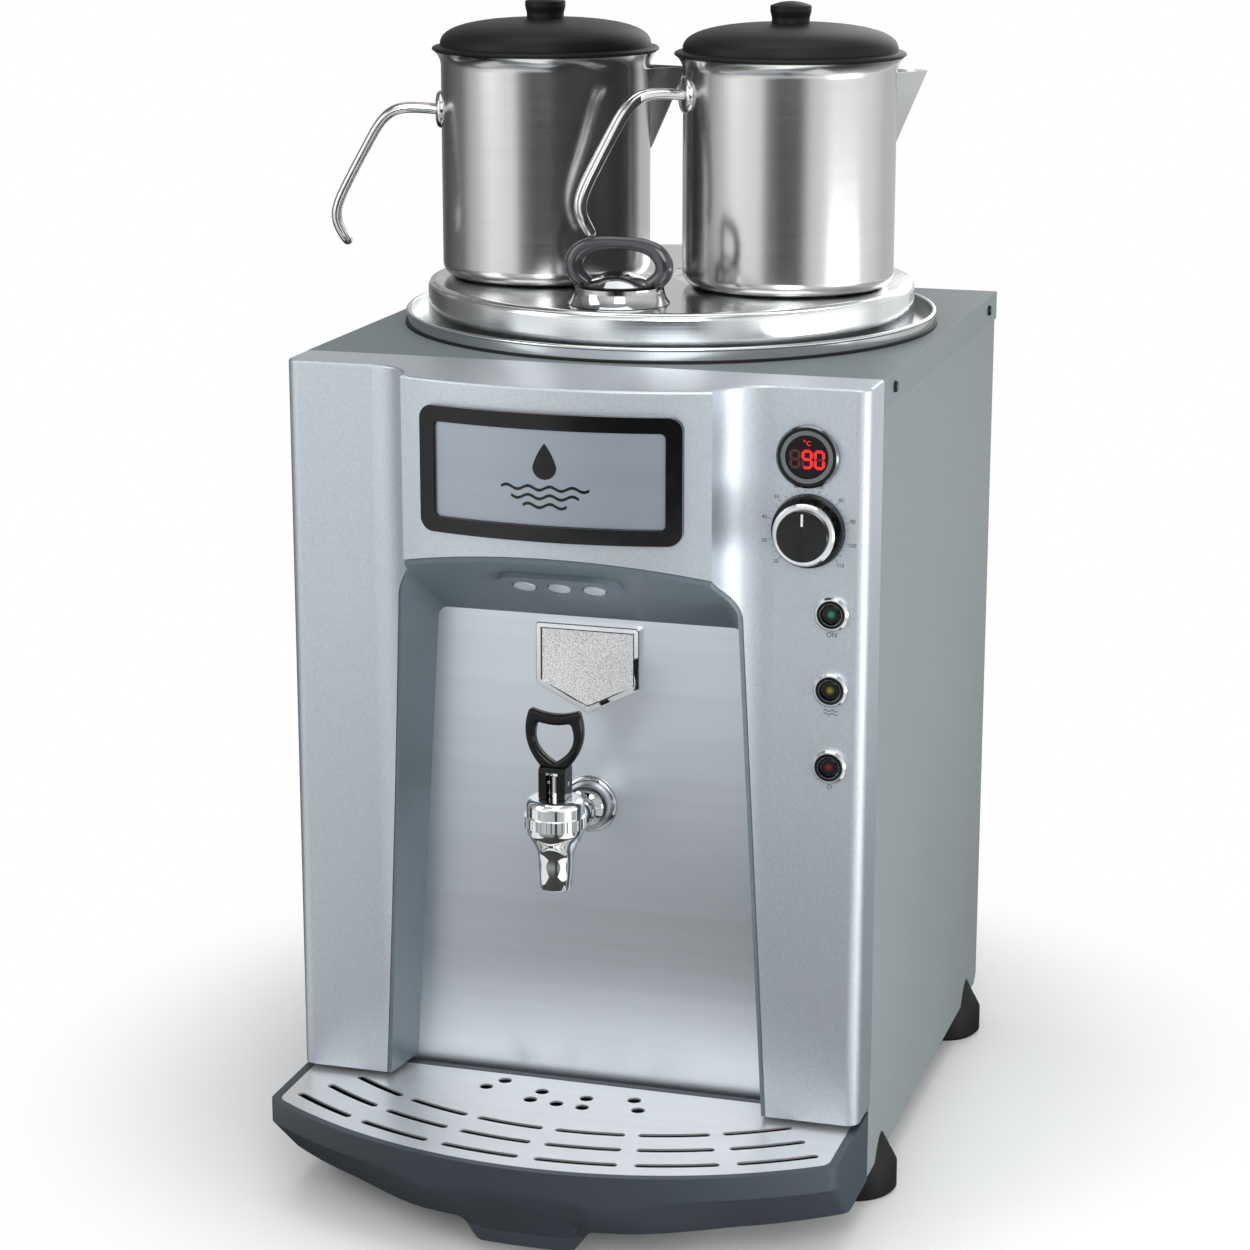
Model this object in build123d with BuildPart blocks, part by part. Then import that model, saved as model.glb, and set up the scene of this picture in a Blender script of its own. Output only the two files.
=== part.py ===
from build123d import *
import os
from math import atan2, cos, degrees, radians, sin, sqrt

# Tea boiler for a counter: a sheet-metal cabinet round a boiler, a bow front with an arched recess
# and a lever tap, a pull-out drip tray, and two teapots that stand on the boiler's lid.
# Millimetres. +Z is up, the front faces -Y, and the origin is on the worktop under the cabinet's centre.

os.makedirs("parts", exist_ok=True)

# Fits
seat_gap = 0.2  # between a trim piece and the curved face it is fixed to
move_gap = 0.3  # between a piece that lifts, slides or turns and its seat
run_gap = 0.05  # radial clearance of a shaft in its hole
screw_gap = 0.3  # radial clearance of a screw in sheet metal

# Cabinet
cabinet_width = 350.0  # over the flanges of the top cover
cabinet_depth = 348.0  # from the bulkhead's face to the rear panel's
cabinet_bottom = 23.0
cabinet_top = 509.0
sheet = 1.0
flange_drop = 18.0  # depth of the cover's flanges
return_width = 15.0  # folded edges of the side panels
return_inset = 17.0  # of those folds from the panels' top and bottom
base_upturn = 14.0
corner_cut = 6.0  # at the side panels' lower rear corner
vent_length = 56.0
vent_width = 5.0

# Fasteners and cord gland
screw_radius = 1.8
screw_length = 8.0
screw_head = 3.6
screw_head_height = 2.0
cover_screw_drop = 8.5
cover_screw_inset = 28.0  # from the cabinet's front and back
rear_screw_inset = 10.0  # from the cabinet's sides
rear_screw_foot = 47.0  # of the lowest screw over the cabinet's bottom
rear_screw_head = 49.0  # of the highest screw under the cabinet's top
vent_drop = 110.0  # of the middle of the vents under the cabinet's top
gland_x = -110.0
gland_z = 62.0
gland_bore = 4.0
gland_stud = 7.8
gland_flange = 12.0
gland_length = 16.0

# Feet
foot_inset_x = 18.0  # of its centre from the cabinet's side
foot_inset_y = 38.0  # and from the cabinet's front or back
foot_radius = 27.0
foot_chamfer = 2.0
tongue_half = 20.0
tongue_top = 37.0

# Bow front panel
panel_bottom = 70.0
panel_wall = 3.0
column_depth = 35.0  # from the bulkhead to the flat column faces
column_width = 54.0  # of a flat column, from the cabinet's side to its cove
cove_radius = 29.0
bow_rise = 16.5  # of the centre bow over its chord
panel_corner = 8.0
panel_edge = 1.5

# Dispensing recess, at the bulkhead and at the front
recess_wall = 2.5
recess_reach = 90.0  # depth over which it is drawn, past the bow
recess_slope = 0.625  # rise of the ceiling towards the front
recess_height = 358.0  # of the ceiling at the bulkhead
recess_side = 50.5  # from the cabinet's side to the foot of the recess, at its front
recess_draft = 12.5  # by which each side is nearer the middle at the bulkhead
recess_rear_lean = 18.0  # by which a wall leans in at its top, at the bulkhead
recess_front_lean = 14.5  # and at the front
recess_rear_corner = 6.0
recess_front_corner = 16.0
recess_below = 10.0  # how far the outline is drawn below the panel
liner_inset = 0.5

# Trim on the bow and in the recess
sign_width = 155.0
sign_height = 73.0
sign_drop = 14.0  # of its top edge under the cabinet's top
sign_border = 9.0
sign_corner = 8.0
sign_window_corner = 3.0
sign_thick = 4.0
sign_plate_thick = 2.0
badge_half = 32.0
badge_drop = 4.0  # of its top edge under the ceiling of the recess
badge_straight = 37.0  # length of its upright sides
badge_height = 54.0
badge_thick = 4.0
badge_rim = 3.0
badge_sink = 1.0
light_width = 74.0
light_height = 28.0
light_proud = 3.5
light_reach = 54.0  # of its middle from the bulkhead
lens_radius = 7.0
lens_pitch = 21.0
lens_depth = 1.5
lens_proud = 0.8

# Meter, thermostat knob and lamps on the right column
meter_inset = 35.0  # from the cabinet's side
meter_drop = 39.0  # from the cabinet's top
meter_radius = 18.0
meter_window_radius = 12.5
meter_body_radius = 14.0
meter_body = 26.0
meter_pocket = 6.0
bezel_proud = 4.0
window_thick = 1.5
window_sink = 1.0
knob_inset = 34.5
knob_drop = 82.0
knob_skirt_radius = 21.5
knob_skirt_thick = 4.0
knob_grip_radius = 18.0
knob_grip_thick = 6.0
knob_cap_radius = 14.75
knob_proud = 16.0
knob_flutes = 14
flute_radius = 2.0
knob_ring_thick = 3.0
pointer_width = 1.8
pointer_depth = 0.6
shaft_radius = 3.0
shaft_depth = 6.0  # of the shaft in the thermostat
shaft_in_knob = 11.0
bush_radius = 5.0
bush_length = 24.0
thermostat_size = (32.0, 33.0, 38.0)
lamp_inset = 20.0
lamp_drops = (129.0, 173.5, 219.0)
lamp_names = ("green", "amber", "red")
lamp_radius = 10.0
lamp_lens_radius = 6.0
lamp_body_radius = 7.2
lamp_body = 22.0
lamp_proud = 3.5
lamp_pocket = 9.0
lamp_sink = 1.2

# Tap
tap_reach = 66.0  # of its axis from the bulkhead
spout_bottom = 212.0
spout_straight = 226.0
spout_radius = 9.75
spout_bore = 6.5
valve_seat = 236.0
tap_shoulder = 239.0
tap_body_top = 250.0
tap_body_radius = 16.5
chamber_radius = 12.0
knurl_top = 256.5
knurl_radius = 18.25
knurl_count = 36
knurl_notch = 0.8
bonnet_radius = 17.0
bonnet_shoulder = 262.0
bonnet_flat = 12.0
bonnet_top = 267.0
bonnet_wall = 4.0
shank_z = 243.0
shank_radius = 6.5
shank_bore = 4.0
shank_in = 24.0  # of the shank's end behind the bulkhead's face
rosette_radius = 17.5
rosette_thick = 5.0
nut_radius = 14.0
nut_thick = 7.0
stem_radius = 3.2
stem_over_pin = 4.5
stem_gap = 0.2
cup_radius = 9.0
cup_top = 244.5
stem_foot = 239.0
spring_radius = 6.0
spring_wire = 0.6
spring_turns = 4
pin_z = 275.5
pin_radius = 1.5
lever_width = 16.0
lever_depth = 14.0
lever_top = 286.0
lever_slot = 7.0
lever_slot_over_pin = 7.5
lever_round = 3.0
ring_half = 17.0
ring_horn = 14.8
ring_neck = 7.0
ring_root = 284.0  # foot of the stirrup, inside the block
ring_shoulder = 302.5
ring_top = 320.0
ring_dip = 3.0
ring_thick = 7.0
ring_round = 2.0
horn_round = 2.0
hole_top = 312.0
hole_dip = 1.5
hole_top_half = 9.8
hole_half = 11.6
hole_foot = 288.0

# Drip tray
tray_gap = 4.0  # between the bulkhead and the tray's back
tray_rim_radius = 300.0  # arc of its front
tray_reach = 144.0  # from the bulkhead to the middle of its front
tray_undercut = 28.0  # of its foot behind its rim
tray_rim_bottom = 53.0
tray_top = 67.0
tray_corner = 10.0
tray_wall = 5.0
tray_floor_thick = 4.0
ledge_width = 4.0
grille_thick = 1.2
slot_insets = (62.0, 40.5, 19.0)  # of the slots' rows behind the rim
slot_angles = (-30.0, -18.0, -6.0, 6.0, 18.0, 30.0)
slot_arc = 9.0
slot_width = 5.0
drain_radius = 4.2
# Drain holes: across from the middle, and out from the tray's back
drain_places = (
    (-56.5, 27.5),
    (-48.5, 15.5),
    (-24.5, 39.0),
    (-21.5, 25.5),
    (-7.5, 40.5),
    (9.0, 41.5),
    (7.5, 28.0),
    (36.0, 22.5),
    (42.5, 36.5),
)
tab_bottom = 20.0  # finger tab on the tray's front
tab_top = 50.0
tab_low_inset = 16.0  # of its foot and its top behind the rim
tab_high_inset = 1.0
tab_half_low = 28.0
tab_half_high = 47.0
tab_angle = 30.0
tab_thick = 12.0
tab_round = 8.0
rail_x = 95.0
rail_width = 22.0
rail_thick = 3.0
rail_out = 88.0  # in front of the bulkhead's face
rail_in = 84.0  # behind it

# Boiler
boiler_sheet = 1.2
boiler_room = 15.0  # between the jacket and the cabinet's nearest face
outlet_height = 21.0  # of the outlet over the tank's bottom
tank_round = 12.0
cover_hole_gap = 2.0
gutter_width = 21.0
gutter_rise = 9.0  # over the cabinet's top
lid_lap = 8.0  # by which the lid is wider than the tank
lid_rise = 27.0  # over the cabinet's top
lid_round = 5.0
steam_places = ((0.0, 34.0), (0.0, 62.0))
steam_length = 12.0
steam_width = 2.5
jacket_gap = 1.0
jacket_thick = 14.0
jacket_foot = 8.0  # of its lower edge over the tank's bottom
jacket_drop = 9.0  # of its upper edge under the cabinet's top
stub_radius = 11.0
stub_bore = 7.6
stub_gap = 12.0  # between the outlet stub and the bulkhead's face
seal_length = 9.0
heater_inset = 59.0  # of the ring from the tank's wall
heater_tube = 4.5
heater_elbow = 5.5
heater_rise = 24.0  # of the ring over the tank's bottom
heater_leg = 16.0  # of its legs below it
heater_leg_x = 14.0
limit_radius = 12.0
limit_height = 14.0
limit_place = (45.0, 40.0)
terminal_size = (66.0, 22.0, 24.0)
terminal_place = (-95.0, 120.0)

# Filler cap on the boiler lid
filler_inset = 39.0  # of its axis from the lid's edge
filler_hole = 23.0
filler_plug = 7.0
filler_skirt = 30.5
filler_neck = 27.0
filler_height = 10.5
filler_dome = 21.5
filler_dome_top = 19.0
filler_sheet = 1.5
# Corners of one side of the grip's loop: out from the cap's axis, and up from the lid
grip_points = ((24.3, filler_height), (24.3, 15.0), (36.0, 24.5), (21.0, 36.8))
grip_bends = (4.0, 7.0, 16.0)
grip_high = 2.6  # halves of the loop's oval section
grip_wide = 4.6

# Teapots
pot_places = (("left", -78.0, -12.0, 198.0, 103.0), ("right", 78.0, -12.0, 211.0, 117.0))
# name, x, y, way the handle points in degrees, height of its boss
pot_radius = 65.0
pot_rim = 69.0
pot_height = 139.0
pot_flare = 9.0
pot_wall = 1.2
pot_round = 9.0
pot_spout_reach = 26.0
pot_spout_top = 129.0
pot_spout_drop = 50.0
pot_spout_half = 20.0
pot_lid_radius = 70.5
pot_lid_edge = 3.0  # thickness of the lid's round rim
pot_lid_shoulder = 58.0  # where the dome turns into the hollow sweep to the rim
pot_lid_sweep = 2.6  # height of that sweep
pot_lid_rise = 19.5
pot_lid_wall = 3.0
pot_lip_radius = 62.3
pot_lip_depth = 6.0
pot_knob_radius = 12.5
pot_knob_neck = 11.5
pot_knob_height = 13.0
rod_radius = 3.0  # of the handle's two rods
rod_half = 5.0  # from the handle's middle to a rod's centre
boss_radius = 11.5
boss_proud = 3.5
boss_round = 1.0
# Corners of the handle rod: out from the pot's axis, and up from its boss
handle_points = ((66.0, 0.0), (97.0, 2.0), (133.0, -64.0), (121.5, -82.0))
handle_bends = (16.0, 12.0)

# Places that follow from those sizes
half_width = cabinet_width / 2
half_depth = cabinet_depth / 2
side_face = half_width - sheet
side_inner = side_face - sheet
rear_face = half_depth
bulkhead_face = -half_depth
cover_under = cabinet_top - sheet
cabinet_height = cover_under - cabinet_bottom
column_face = bulkhead_face - column_depth
column_inner = half_width - column_width
crease_x = column_inner - cove_radius
crease_y = column_face - cove_radius
bow_front = crease_y - bow_rise
bow_radius = (crease_x**2 + bow_rise**2) / (2 * bow_rise)
bow_centre_y = bow_front + bow_radius
recess_front = bulkhead_face - recess_reach
recess_front_bottom = half_width - recess_side
recess_front_top = recess_front_bottom - recess_front_lean
recess_rear_bottom = recess_front_bottom - recess_draft
recess_rear_top = recess_rear_bottom - recess_rear_lean
cover_screw_y = half_depth - cover_screw_inset
cover_screw_z = cabinet_top - cover_screw_drop
rear_screw_x = half_width - rear_screw_inset
rear_screw_low = cabinet_bottom + rear_screw_foot
rear_screw_high = cabinet_top - rear_screw_head
rear_screw_zs = (rear_screw_low, (rear_screw_low + rear_screw_high) / 2, rear_screw_high)
foot_x = half_width - foot_inset_x
foot_y = half_depth - foot_inset_y
sign_top = cabinet_top - sign_drop
sign_bottom = sign_top - sign_height
badge_top = recess_height - badge_drop
badge_shoulder = badge_top - badge_straight
badge_tip = badge_top - badge_height
light_y = bulkhead_face - light_reach
meter_x = half_width - meter_inset
meter_z = cabinet_top - meter_drop
knob_x = half_width - knob_inset
knob_z = cabinet_top - knob_drop
tap_y = bulkhead_face - tap_reach
shank_end = bulkhead_face + shank_in
tray_floor = cabinet_bottom + move_gap
tray_rear = bulkhead_face - tray_gap
tray_centre_y = bulkhead_face - tray_reach + tray_rim_radius
tray_foot_radius = tray_rim_radius - tray_undercut
tab_low_radius = tray_rim_radius - tab_low_inset
tab_high_radius = tray_rim_radius - tab_high_inset
rail_front = bulkhead_face - rail_out
rail_rear = bulkhead_face + rail_in
tank_radius = min(half_width, half_depth) - boiler_room - jacket_thick - jacket_gap
tank_bottom = shank_z - outlet_height
tank_seat = cabinet_top + boiler_sheet
gutter_radius = tank_radius + gutter_width
gutter_top = cabinet_top + gutter_rise
lid_radius = tank_radius + lid_lap
lid_top = cabinet_top + lid_rise
jacket_bottom = tank_bottom + jacket_foot
jacket_top = cabinet_top - jacket_drop
stub_end = bulkhead_face + stub_gap
heater_ring = tank_radius - heater_inset
heater_z = tank_bottom + heater_rise
heater_leg_end = tank_bottom - heater_leg
filler_y = filler_inset - lid_radius
knob_back = column_face - move_gap
lamp_places = [(half_width - lamp_inset, cabinet_top - drop) for drop in lamp_drops]
tap_axis = Axis((0, tap_y, 0), (0, 0, 1))
filler_axis = Axis((0, filler_y, 0), (0, 0, 1))
heater_legs = [(x, sqrt(heater_ring**2 - x**2)) for x in (-heater_leg_x, heater_leg_x)]


def save(piece, name):
    """Label a finished piece and write it."""
    piece.part.label = name
    export_step(piece.part, f"parts/{name}.step")


def at_y(y):
    """The upright plane at this depth, facing the front: its x is X and its y is Z."""
    return Plane.XZ.offset(-y)


def at_x(x):
    """The upright plane at this width, facing right: its x is Y and its y is Z."""
    return Plane.YZ.offset(x)


def between(start, end, part):
    """The value this part of the way from start to end."""
    return start + (end - start) * part


def arc_height(radius_in, rise, half):
    """Height of a dome of this rise and half width, at a radius inside it."""
    ball = (half**2 + rise**2) / (2 * rise)
    return rise - ball + sqrt(ball**2 - radius_in**2)


def bow_plan(inset=0.0):
    """Plan of the bow front: flat columns, coves and a bowed centre. An inset plan is open behind."""
    with BuildSketch() as plan:
        with BuildLine():
            ThreePointArc((-crease_x, crease_y), (0, bow_front), (crease_x, crease_y))
            CenterArc((column_inner, crease_y), cove_radius, 90, 90)
            Polyline(
                (column_inner, column_face),
                (half_width, column_face),
                (half_width, bulkhead_face),
                (-half_width, bulkhead_face),
                (-half_width, column_face),
                (-column_inner, column_face),
            )
            CenterArc((-column_inner, crease_y), cove_radius, 0, 90)
        make_face()
        outer = plan.vertices().filter_by(lambda v: abs(v.X) > side_face and v.Y < bulkhead_face - 1)
        fillet(outer, panel_corner)
        if inset:
            offset(amount=-inset, kind=Kind.INTERSECTION, mode=Mode.REPLACE)
            with Locations((0, bulkhead_face)):
                Rectangle(cabinet_width - 2 * inset, column_depth / 2)
    return plan.sketch


def bow_band(gap, thick, width):
    """Plan of a strip that follows the bow, this far in front of it."""
    with BuildSketch() as band:
        with Locations((0, bow_centre_y)):
            Circle(bow_radius + gap + thick)
            Circle(bow_radius + gap, mode=Mode.SUBTRACT)
        with Locations((0, bow_front)):
            Rectangle(width, 4 * bow_rise, mode=Mode.INTERSECT)
    return band.sketch


def recess_section(y, grow=0.0):
    """Outline of the recess at this depth, grown outwards, and drawn on below the panel."""
    depth = bulkhead_face - y
    part = depth / recess_reach
    low = between(recess_rear_bottom, recess_front_bottom, part) + grow
    high = between(recess_rear_top, recess_front_top, part) + grow
    height = recess_height + recess_slope * depth + grow * sqrt(1 + recess_slope**2)
    corner = between(recess_rear_corner, recess_front_corner, part) + grow
    lean = (low - high) / (height - panel_bottom)
    foot = low + lean * recess_below
    with BuildSketch() as section:
        with BuildLine():
            Polyline(
                (-foot, panel_bottom - recess_below),
                (-high, height),
                (high, height),
                (foot, panel_bottom - recess_below),
                close=True,
            )
        make_face()
        fillet(section.vertices().group_by(Axis.Y)[-1], corner)
    return section.sketch


def tray_plan(front_radius, inset=0.0):
    """Plan of the tray: straight back and sides, and a front that is an arc with rounded corners."""
    half = half_width - inset
    back = tray_rear - inset
    corner_y = tray_centre_y - sqrt(front_radius**2 - half**2)
    with BuildSketch() as plan:
        with BuildLine():
            Polyline((half, corner_y), (half, back), (-half, back), (-half, corner_y))
            ThreePointArc((-half, corner_y), (0, tray_centre_y - front_radius), (half, corner_y))
        make_face()
        fillet(plan.vertices().group_by(Axis.Y)[0], tray_corner)
    return plan.sketch


# Side panels: flat sheets with folded edges behind the bulkhead and inside the rear panel
for side, panel_name in ((-1, "left_side_panel"), (1, "right_side_panel")):
    with BuildPart() as side_panel:
        with BuildSketch(at_x(side * side_inner)):
            with BuildLine():
                Polyline(
                    (bulkhead_face, cabinet_bottom),
                    (rear_face - corner_cut, cabinet_bottom),
                    (rear_face, cabinet_bottom + corner_cut),
                    (rear_face, cover_under),
                    (bulkhead_face, cover_under),
                    close=True,
                )
            make_face()
        extrude(amount=side * sheet)
        for fold_y in (bulkhead_face + 1.5 * sheet, rear_face - 1.5 * sheet):
            fold_x = side * (side_inner - return_width / 2)
            with Locations((fold_x, fold_y, (cabinet_bottom + cover_under) / 2)):
                Box(return_width, sheet, cabinet_height - 2 * return_inset)
        with BuildSketch(at_x(side * side_face)):
            with Locations((-cover_screw_y, cover_screw_z), (cover_screw_y, cover_screw_z)):
                Circle(screw_radius + screw_gap)
        extrude(amount=-side * 2 * sheet, mode=Mode.SUBTRACT)
        with BuildSketch(at_y(rear_face)):
            with Locations(*[(side * rear_screw_x, z) for z in rear_screw_zs]):
                Circle(screw_radius + screw_gap)
        extrude(amount=3 * sheet, mode=Mode.SUBTRACT)
    save(side_panel, panel_name)

# Rear panel: a sheet between the side panels, with rows of vents and the hole for the cord gland
with BuildPart() as rear_panel:
    with BuildSketch(at_y(rear_face)):
        with Locations((0, cabinet_bottom + cabinet_height / 2)):
            Rectangle(2 * side_inner, cabinet_height)
        with Locations((0, cabinet_top - vent_drop)):
            with GridLocations(1.5 * vent_length, 3 * vent_width, 3, 6):
                SlotOverall(vent_length, vent_width, mode=Mode.SUBTRACT)
        with Locations(*[(x, z) for x in (-rear_screw_x, rear_screw_x) for z in rear_screw_zs]):
            Circle(screw_radius + screw_gap, mode=Mode.SUBTRACT)
        with Locations((gland_x, gland_z)):
            Circle(gland_stud + seat_gap, mode=Mode.SUBTRACT)
    extrude(amount=sheet)
save(rear_panel, "rear_panel")

# Base plate: a sheet between bulkhead and rear panel, turned up along both sides, with vents in the middle
with BuildPart() as base_plate:
    with BuildSketch(Plane.XY.offset(cabinet_bottom)):
        Rectangle(2 * side_inner, cabinet_depth - 2 * sheet)
        with GridLocations(1.5 * vent_length, 5 * vent_width, 2, 4):
            SlotOverall(vent_length, vent_width, mode=Mode.SUBTRACT)
    extrude(amount=sheet)
    for side in (-1, 1):
        with Locations((side * (side_inner - sheet / 2), 0, cabinet_bottom + base_upturn / 2)):
            Box(sheet, cabinet_depth - 6 * sheet, base_upturn)
save(base_plate, "base_plate")

# Front bulkhead: the brushed sheet that closes the cabinet behind the bow front and carries the tap
with BuildPart() as front_bulkhead:
    with BuildSketch(at_y(bulkhead_face)):
        with Locations((0, cabinet_bottom + cabinet_height / 2)):
            Rectangle(2 * side_inner, cabinet_height)
        with Locations((0, shank_z)):
            Circle(shank_radius + screw_gap, mode=Mode.SUBTRACT)
        with Locations((knob_x, knob_z)):
            Circle(bush_radius + screw_gap, mode=Mode.SUBTRACT)
    extrude(amount=-sheet)
save(front_bulkhead, "front_bulkhead")

# Top cover: a sheet with a round opening for the boiler and flanges over the sides and the back
with BuildPart() as top_cover:
    with BuildSketch(Plane.XY.offset(cover_under)):
        with Locations((0, sheet / 2)):
            Rectangle(cabinet_width, cabinet_depth + sheet)
        Circle(tank_radius + cover_hole_gap, mode=Mode.SUBTRACT)
    extrude(amount=sheet)
    for side in (-1, 1):
        with Locations((side * (half_width - sheet / 2), sheet / 2, cabinet_top - flange_drop / 2)):
            Box(sheet, cabinet_depth + sheet, flange_drop)
    with Locations((0, rear_face + sheet / 2, cabinet_top - flange_drop / 2)):
        Box(cabinet_width, sheet, flange_drop)
    rim_edges = top_cover.faces().sort_by(Axis.Z)[-1].outer_wire().edges()
    fillet(rim_edges.filter_by(lambda e: e.center().Y > bulkhead_face + 1), 0.8 * sheet)
    with BuildSketch(at_x(half_width)):
        with Locations((-cover_screw_y, cover_screw_z), (cover_screw_y, cover_screw_z)):
            Circle(screw_radius + screw_gap)
    extrude(amount=-cabinet_width, mode=Mode.SUBTRACT)
save(top_cover, "top_cover")


def screw(plane):
    """A pan-head screw whose head sits on this plane."""
    with BuildPart() as piece:
        with BuildSketch(plane):
            Circle(screw_head)
        extrude(amount=screw_head_height, taper=20)
        with BuildSketch(plane):
            Circle(screw_radius)
        extrude(amount=-screw_length)
    return piece.part


# Screws of the top cover and of the rear panel, each set one group
with BuildPart() as cover_screws:
    for side in (-1, 1):
        for y in (-cover_screw_y, cover_screw_y):
            add(screw(Plane((side * half_width, y, cover_screw_z), z_dir=(side, 0, 0))))
save(cover_screws, "cover_screws")
with BuildPart() as rear_screws:
    for x in (-rear_screw_x, rear_screw_x):
        for z in rear_screw_zs:
            add(screw(Plane((x, rear_face, z), z_dir=(0, 1, 0))))
save(rear_screws, "rear_screws")

# Feet: round plastic pads with a pointed tongue that grips the side panel from outside
for end, y in (("front", -foot_y), ("rear", foot_y)):
    for side_name, side in (("left", -1), ("right", 1)):
        with BuildPart() as foot:
            with BuildSketch(at_x(side * side_face)):
                with BuildLine():
                    mid_z = between(cabinet_bottom, tongue_top, 0.6)
                    Line((y - tongue_half, cabinet_bottom), (y + tongue_half, cabinet_bottom))
                    for way in (-1, 1):
                        ThreePointArc(
                            (y + way * tongue_half, cabinet_bottom),
                            (y + way * 0.62 * tongue_half, mid_z),
                            (y, tongue_top),
                        )
                make_face()
            extrude(amount=side * foot_radius)
            with BuildSketch(Plane.XY):
                with Locations((side * foot_x, y)):
                    Circle(foot_radius)
            extrude(amount=tongue_top, mode=Mode.INTERSECT)
            with BuildSketch(Plane.XY):
                with Locations((side * foot_x, y)):
                    Circle(foot_radius)
            extrude(amount=cabinet_bottom)
            chamfer(foot.faces().sort_by(Axis.Z)[0].edges(), foot_chamfer)
        save(foot, f"foot_{end}_{side_name}")

# Front panel: the bow-fronted moulding, hollow from behind, with the arched opening of the recess
with BuildPart() as front_panel:
    with BuildSketch(Plane.XY.offset(panel_bottom)):
        add(bow_plan())
    extrude(amount=cabinet_top - panel_bottom)
    rim_edges = front_panel.faces().sort_by(Axis.Z)[-1].edges()
    fillet(rim_edges.filter_by(lambda e: e.center().Y < bulkhead_face - column_depth / 2 - 1), panel_edge)
    with BuildSketch(Plane.XY.offset(panel_bottom + panel_wall)):
        add(bow_plan(panel_wall))
    extrude(amount=cabinet_top - panel_bottom - 2 * panel_wall, mode=Mode.SUBTRACT)
    for y in (bulkhead_face + 1, recess_front):
        with BuildSketch(at_y(y)):
            add(recess_section(y, recess_wall + seat_gap))
    loft(ruled=True, mode=Mode.SUBTRACT)
    with BuildSketch(at_y(column_face)):
        with Locations((meter_x, meter_z)):
            Circle(meter_body_radius + screw_gap)
        with Locations((knob_x, knob_z)):
            Circle(shaft_radius + screw_gap)
        with Locations(*lamp_places):
            Circle(lamp_body_radius + screw_gap)
    extrude(amount=-2 * panel_wall, mode=Mode.SUBTRACT)
save(front_panel, "front_panel")

# Recess liner: the dark shell of the recess, walls and sloping ceiling, trimmed to the bow
with BuildPart() as recess_liner:
    for y in (bulkhead_face, recess_front):
        with BuildSketch(at_y(y)):
            add(recess_section(y, recess_wall))
    loft(ruled=True)
    for y in (bulkhead_face + 1, recess_front - 1):
        with BuildSketch(at_y(y)):
            add(recess_section(y))
    loft(ruled=True, mode=Mode.SUBTRACT)
    with BuildSketch(Plane.XY.offset(panel_bottom)):
        add(bow_plan(liner_inset))
    extrude(amount=cabinet_top - panel_bottom, mode=Mode.INTERSECT)
save(recess_liner, "recess_liner")

# Sign on the bow: a glossy frame round a plain plate, both curved with the panel
sign_centre = (0, (sign_bottom + sign_top) / 2)
window_width = sign_width - 2 * sign_border
window_height = sign_height - 2 * sign_border
with BuildPart() as sign_frame:
    with BuildSketch(Plane.XY.offset(sign_bottom - sign_border)):
        add(bow_band(seat_gap, sign_thick, sign_width + 2 * sign_border))
    extrude(amount=sign_height + 2 * sign_border)
    with BuildSketch(at_y(crease_y)):
        with Locations(sign_centre):
            RectangleRounded(sign_width, sign_height, sign_corner)
            RectangleRounded(window_width, window_height, sign_window_corner, mode=Mode.SUBTRACT)
    extrude(amount=4 * bow_rise, mode=Mode.INTERSECT)
save(sign_frame, "sign_frame")
with BuildPart() as sign_plate:
    with BuildSketch(Plane.XY.offset(sign_bottom)):
        add(bow_band(seat_gap, sign_plate_thick, sign_width))
    extrude(amount=sign_height)
    with BuildSketch(at_y(crease_y)):
        with Locations(sign_centre):
            RectangleRounded(
                window_width - 2 * seat_gap, window_height - 2 * seat_gap, sign_window_corner - seat_gap
            )
    extrude(amount=4 * bow_rise, mode=Mode.INTERSECT)
save(sign_plate, "sign_plate")

# Badge: a plain five-sided shield with a raised rim, fixed to the bulkhead above the tap
with BuildPart() as badge_plate:
    with BuildSketch(at_y(bulkhead_face)) as badge_outline:
        with BuildLine():
            Polyline(
                (-badge_half, badge_top),
                (badge_half, badge_top),
                (badge_half, badge_shoulder),
                (0, badge_tip),
                (-badge_half, badge_shoulder),
                close=True,
            )
        make_face()
        fillet(badge_outline.vertices(), 2 * badge_sink)
    extrude(amount=badge_thick)
    with BuildSketch(at_y(bulkhead_face - badge_thick)):
        add(badge_outline.sketch_local)
        offset(amount=-badge_rim, kind=Kind.INTERSECTION, mode=Mode.REPLACE)
    extrude(amount=-badge_sink, mode=Mode.SUBTRACT)
    chamfer(badge_plate.faces().sort_by(Axis.Y)[0].outer_wire().edges(), 0.6 * badge_sink)
save(badge_plate, "badge_plate")

# Recess light: an oval housing on the sloping ceiling, with three round lenses
light_z = recess_height + recess_slope * (bulkhead_face - light_y)
ceiling = Plane((0, light_y, light_z), x_dir=(1, 0, 0), z_dir=(0, -recess_slope, -1))
with BuildPart() as light_housing:
    with BuildSketch(ceiling):
        SlotOverall(light_width, light_height)
    extrude(amount=light_proud)
    with BuildSketch(ceiling.offset(light_proud)):
        with GridLocations(lens_pitch, 1, 3, 1):
            Circle(lens_radius)
    extrude(amount=-lens_depth, mode=Mode.SUBTRACT)
save(light_housing, "light_housing")
with BuildPart() as light_lenses:
    with BuildSketch(ceiling.offset(light_proud - lens_depth)):
        with GridLocations(lens_pitch, 1, 3, 1):
            Circle(lens_radius - seat_gap)
    extrude(amount=lens_depth + lens_proud, taper=15)
save(light_lenses, "light_lenses")

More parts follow.
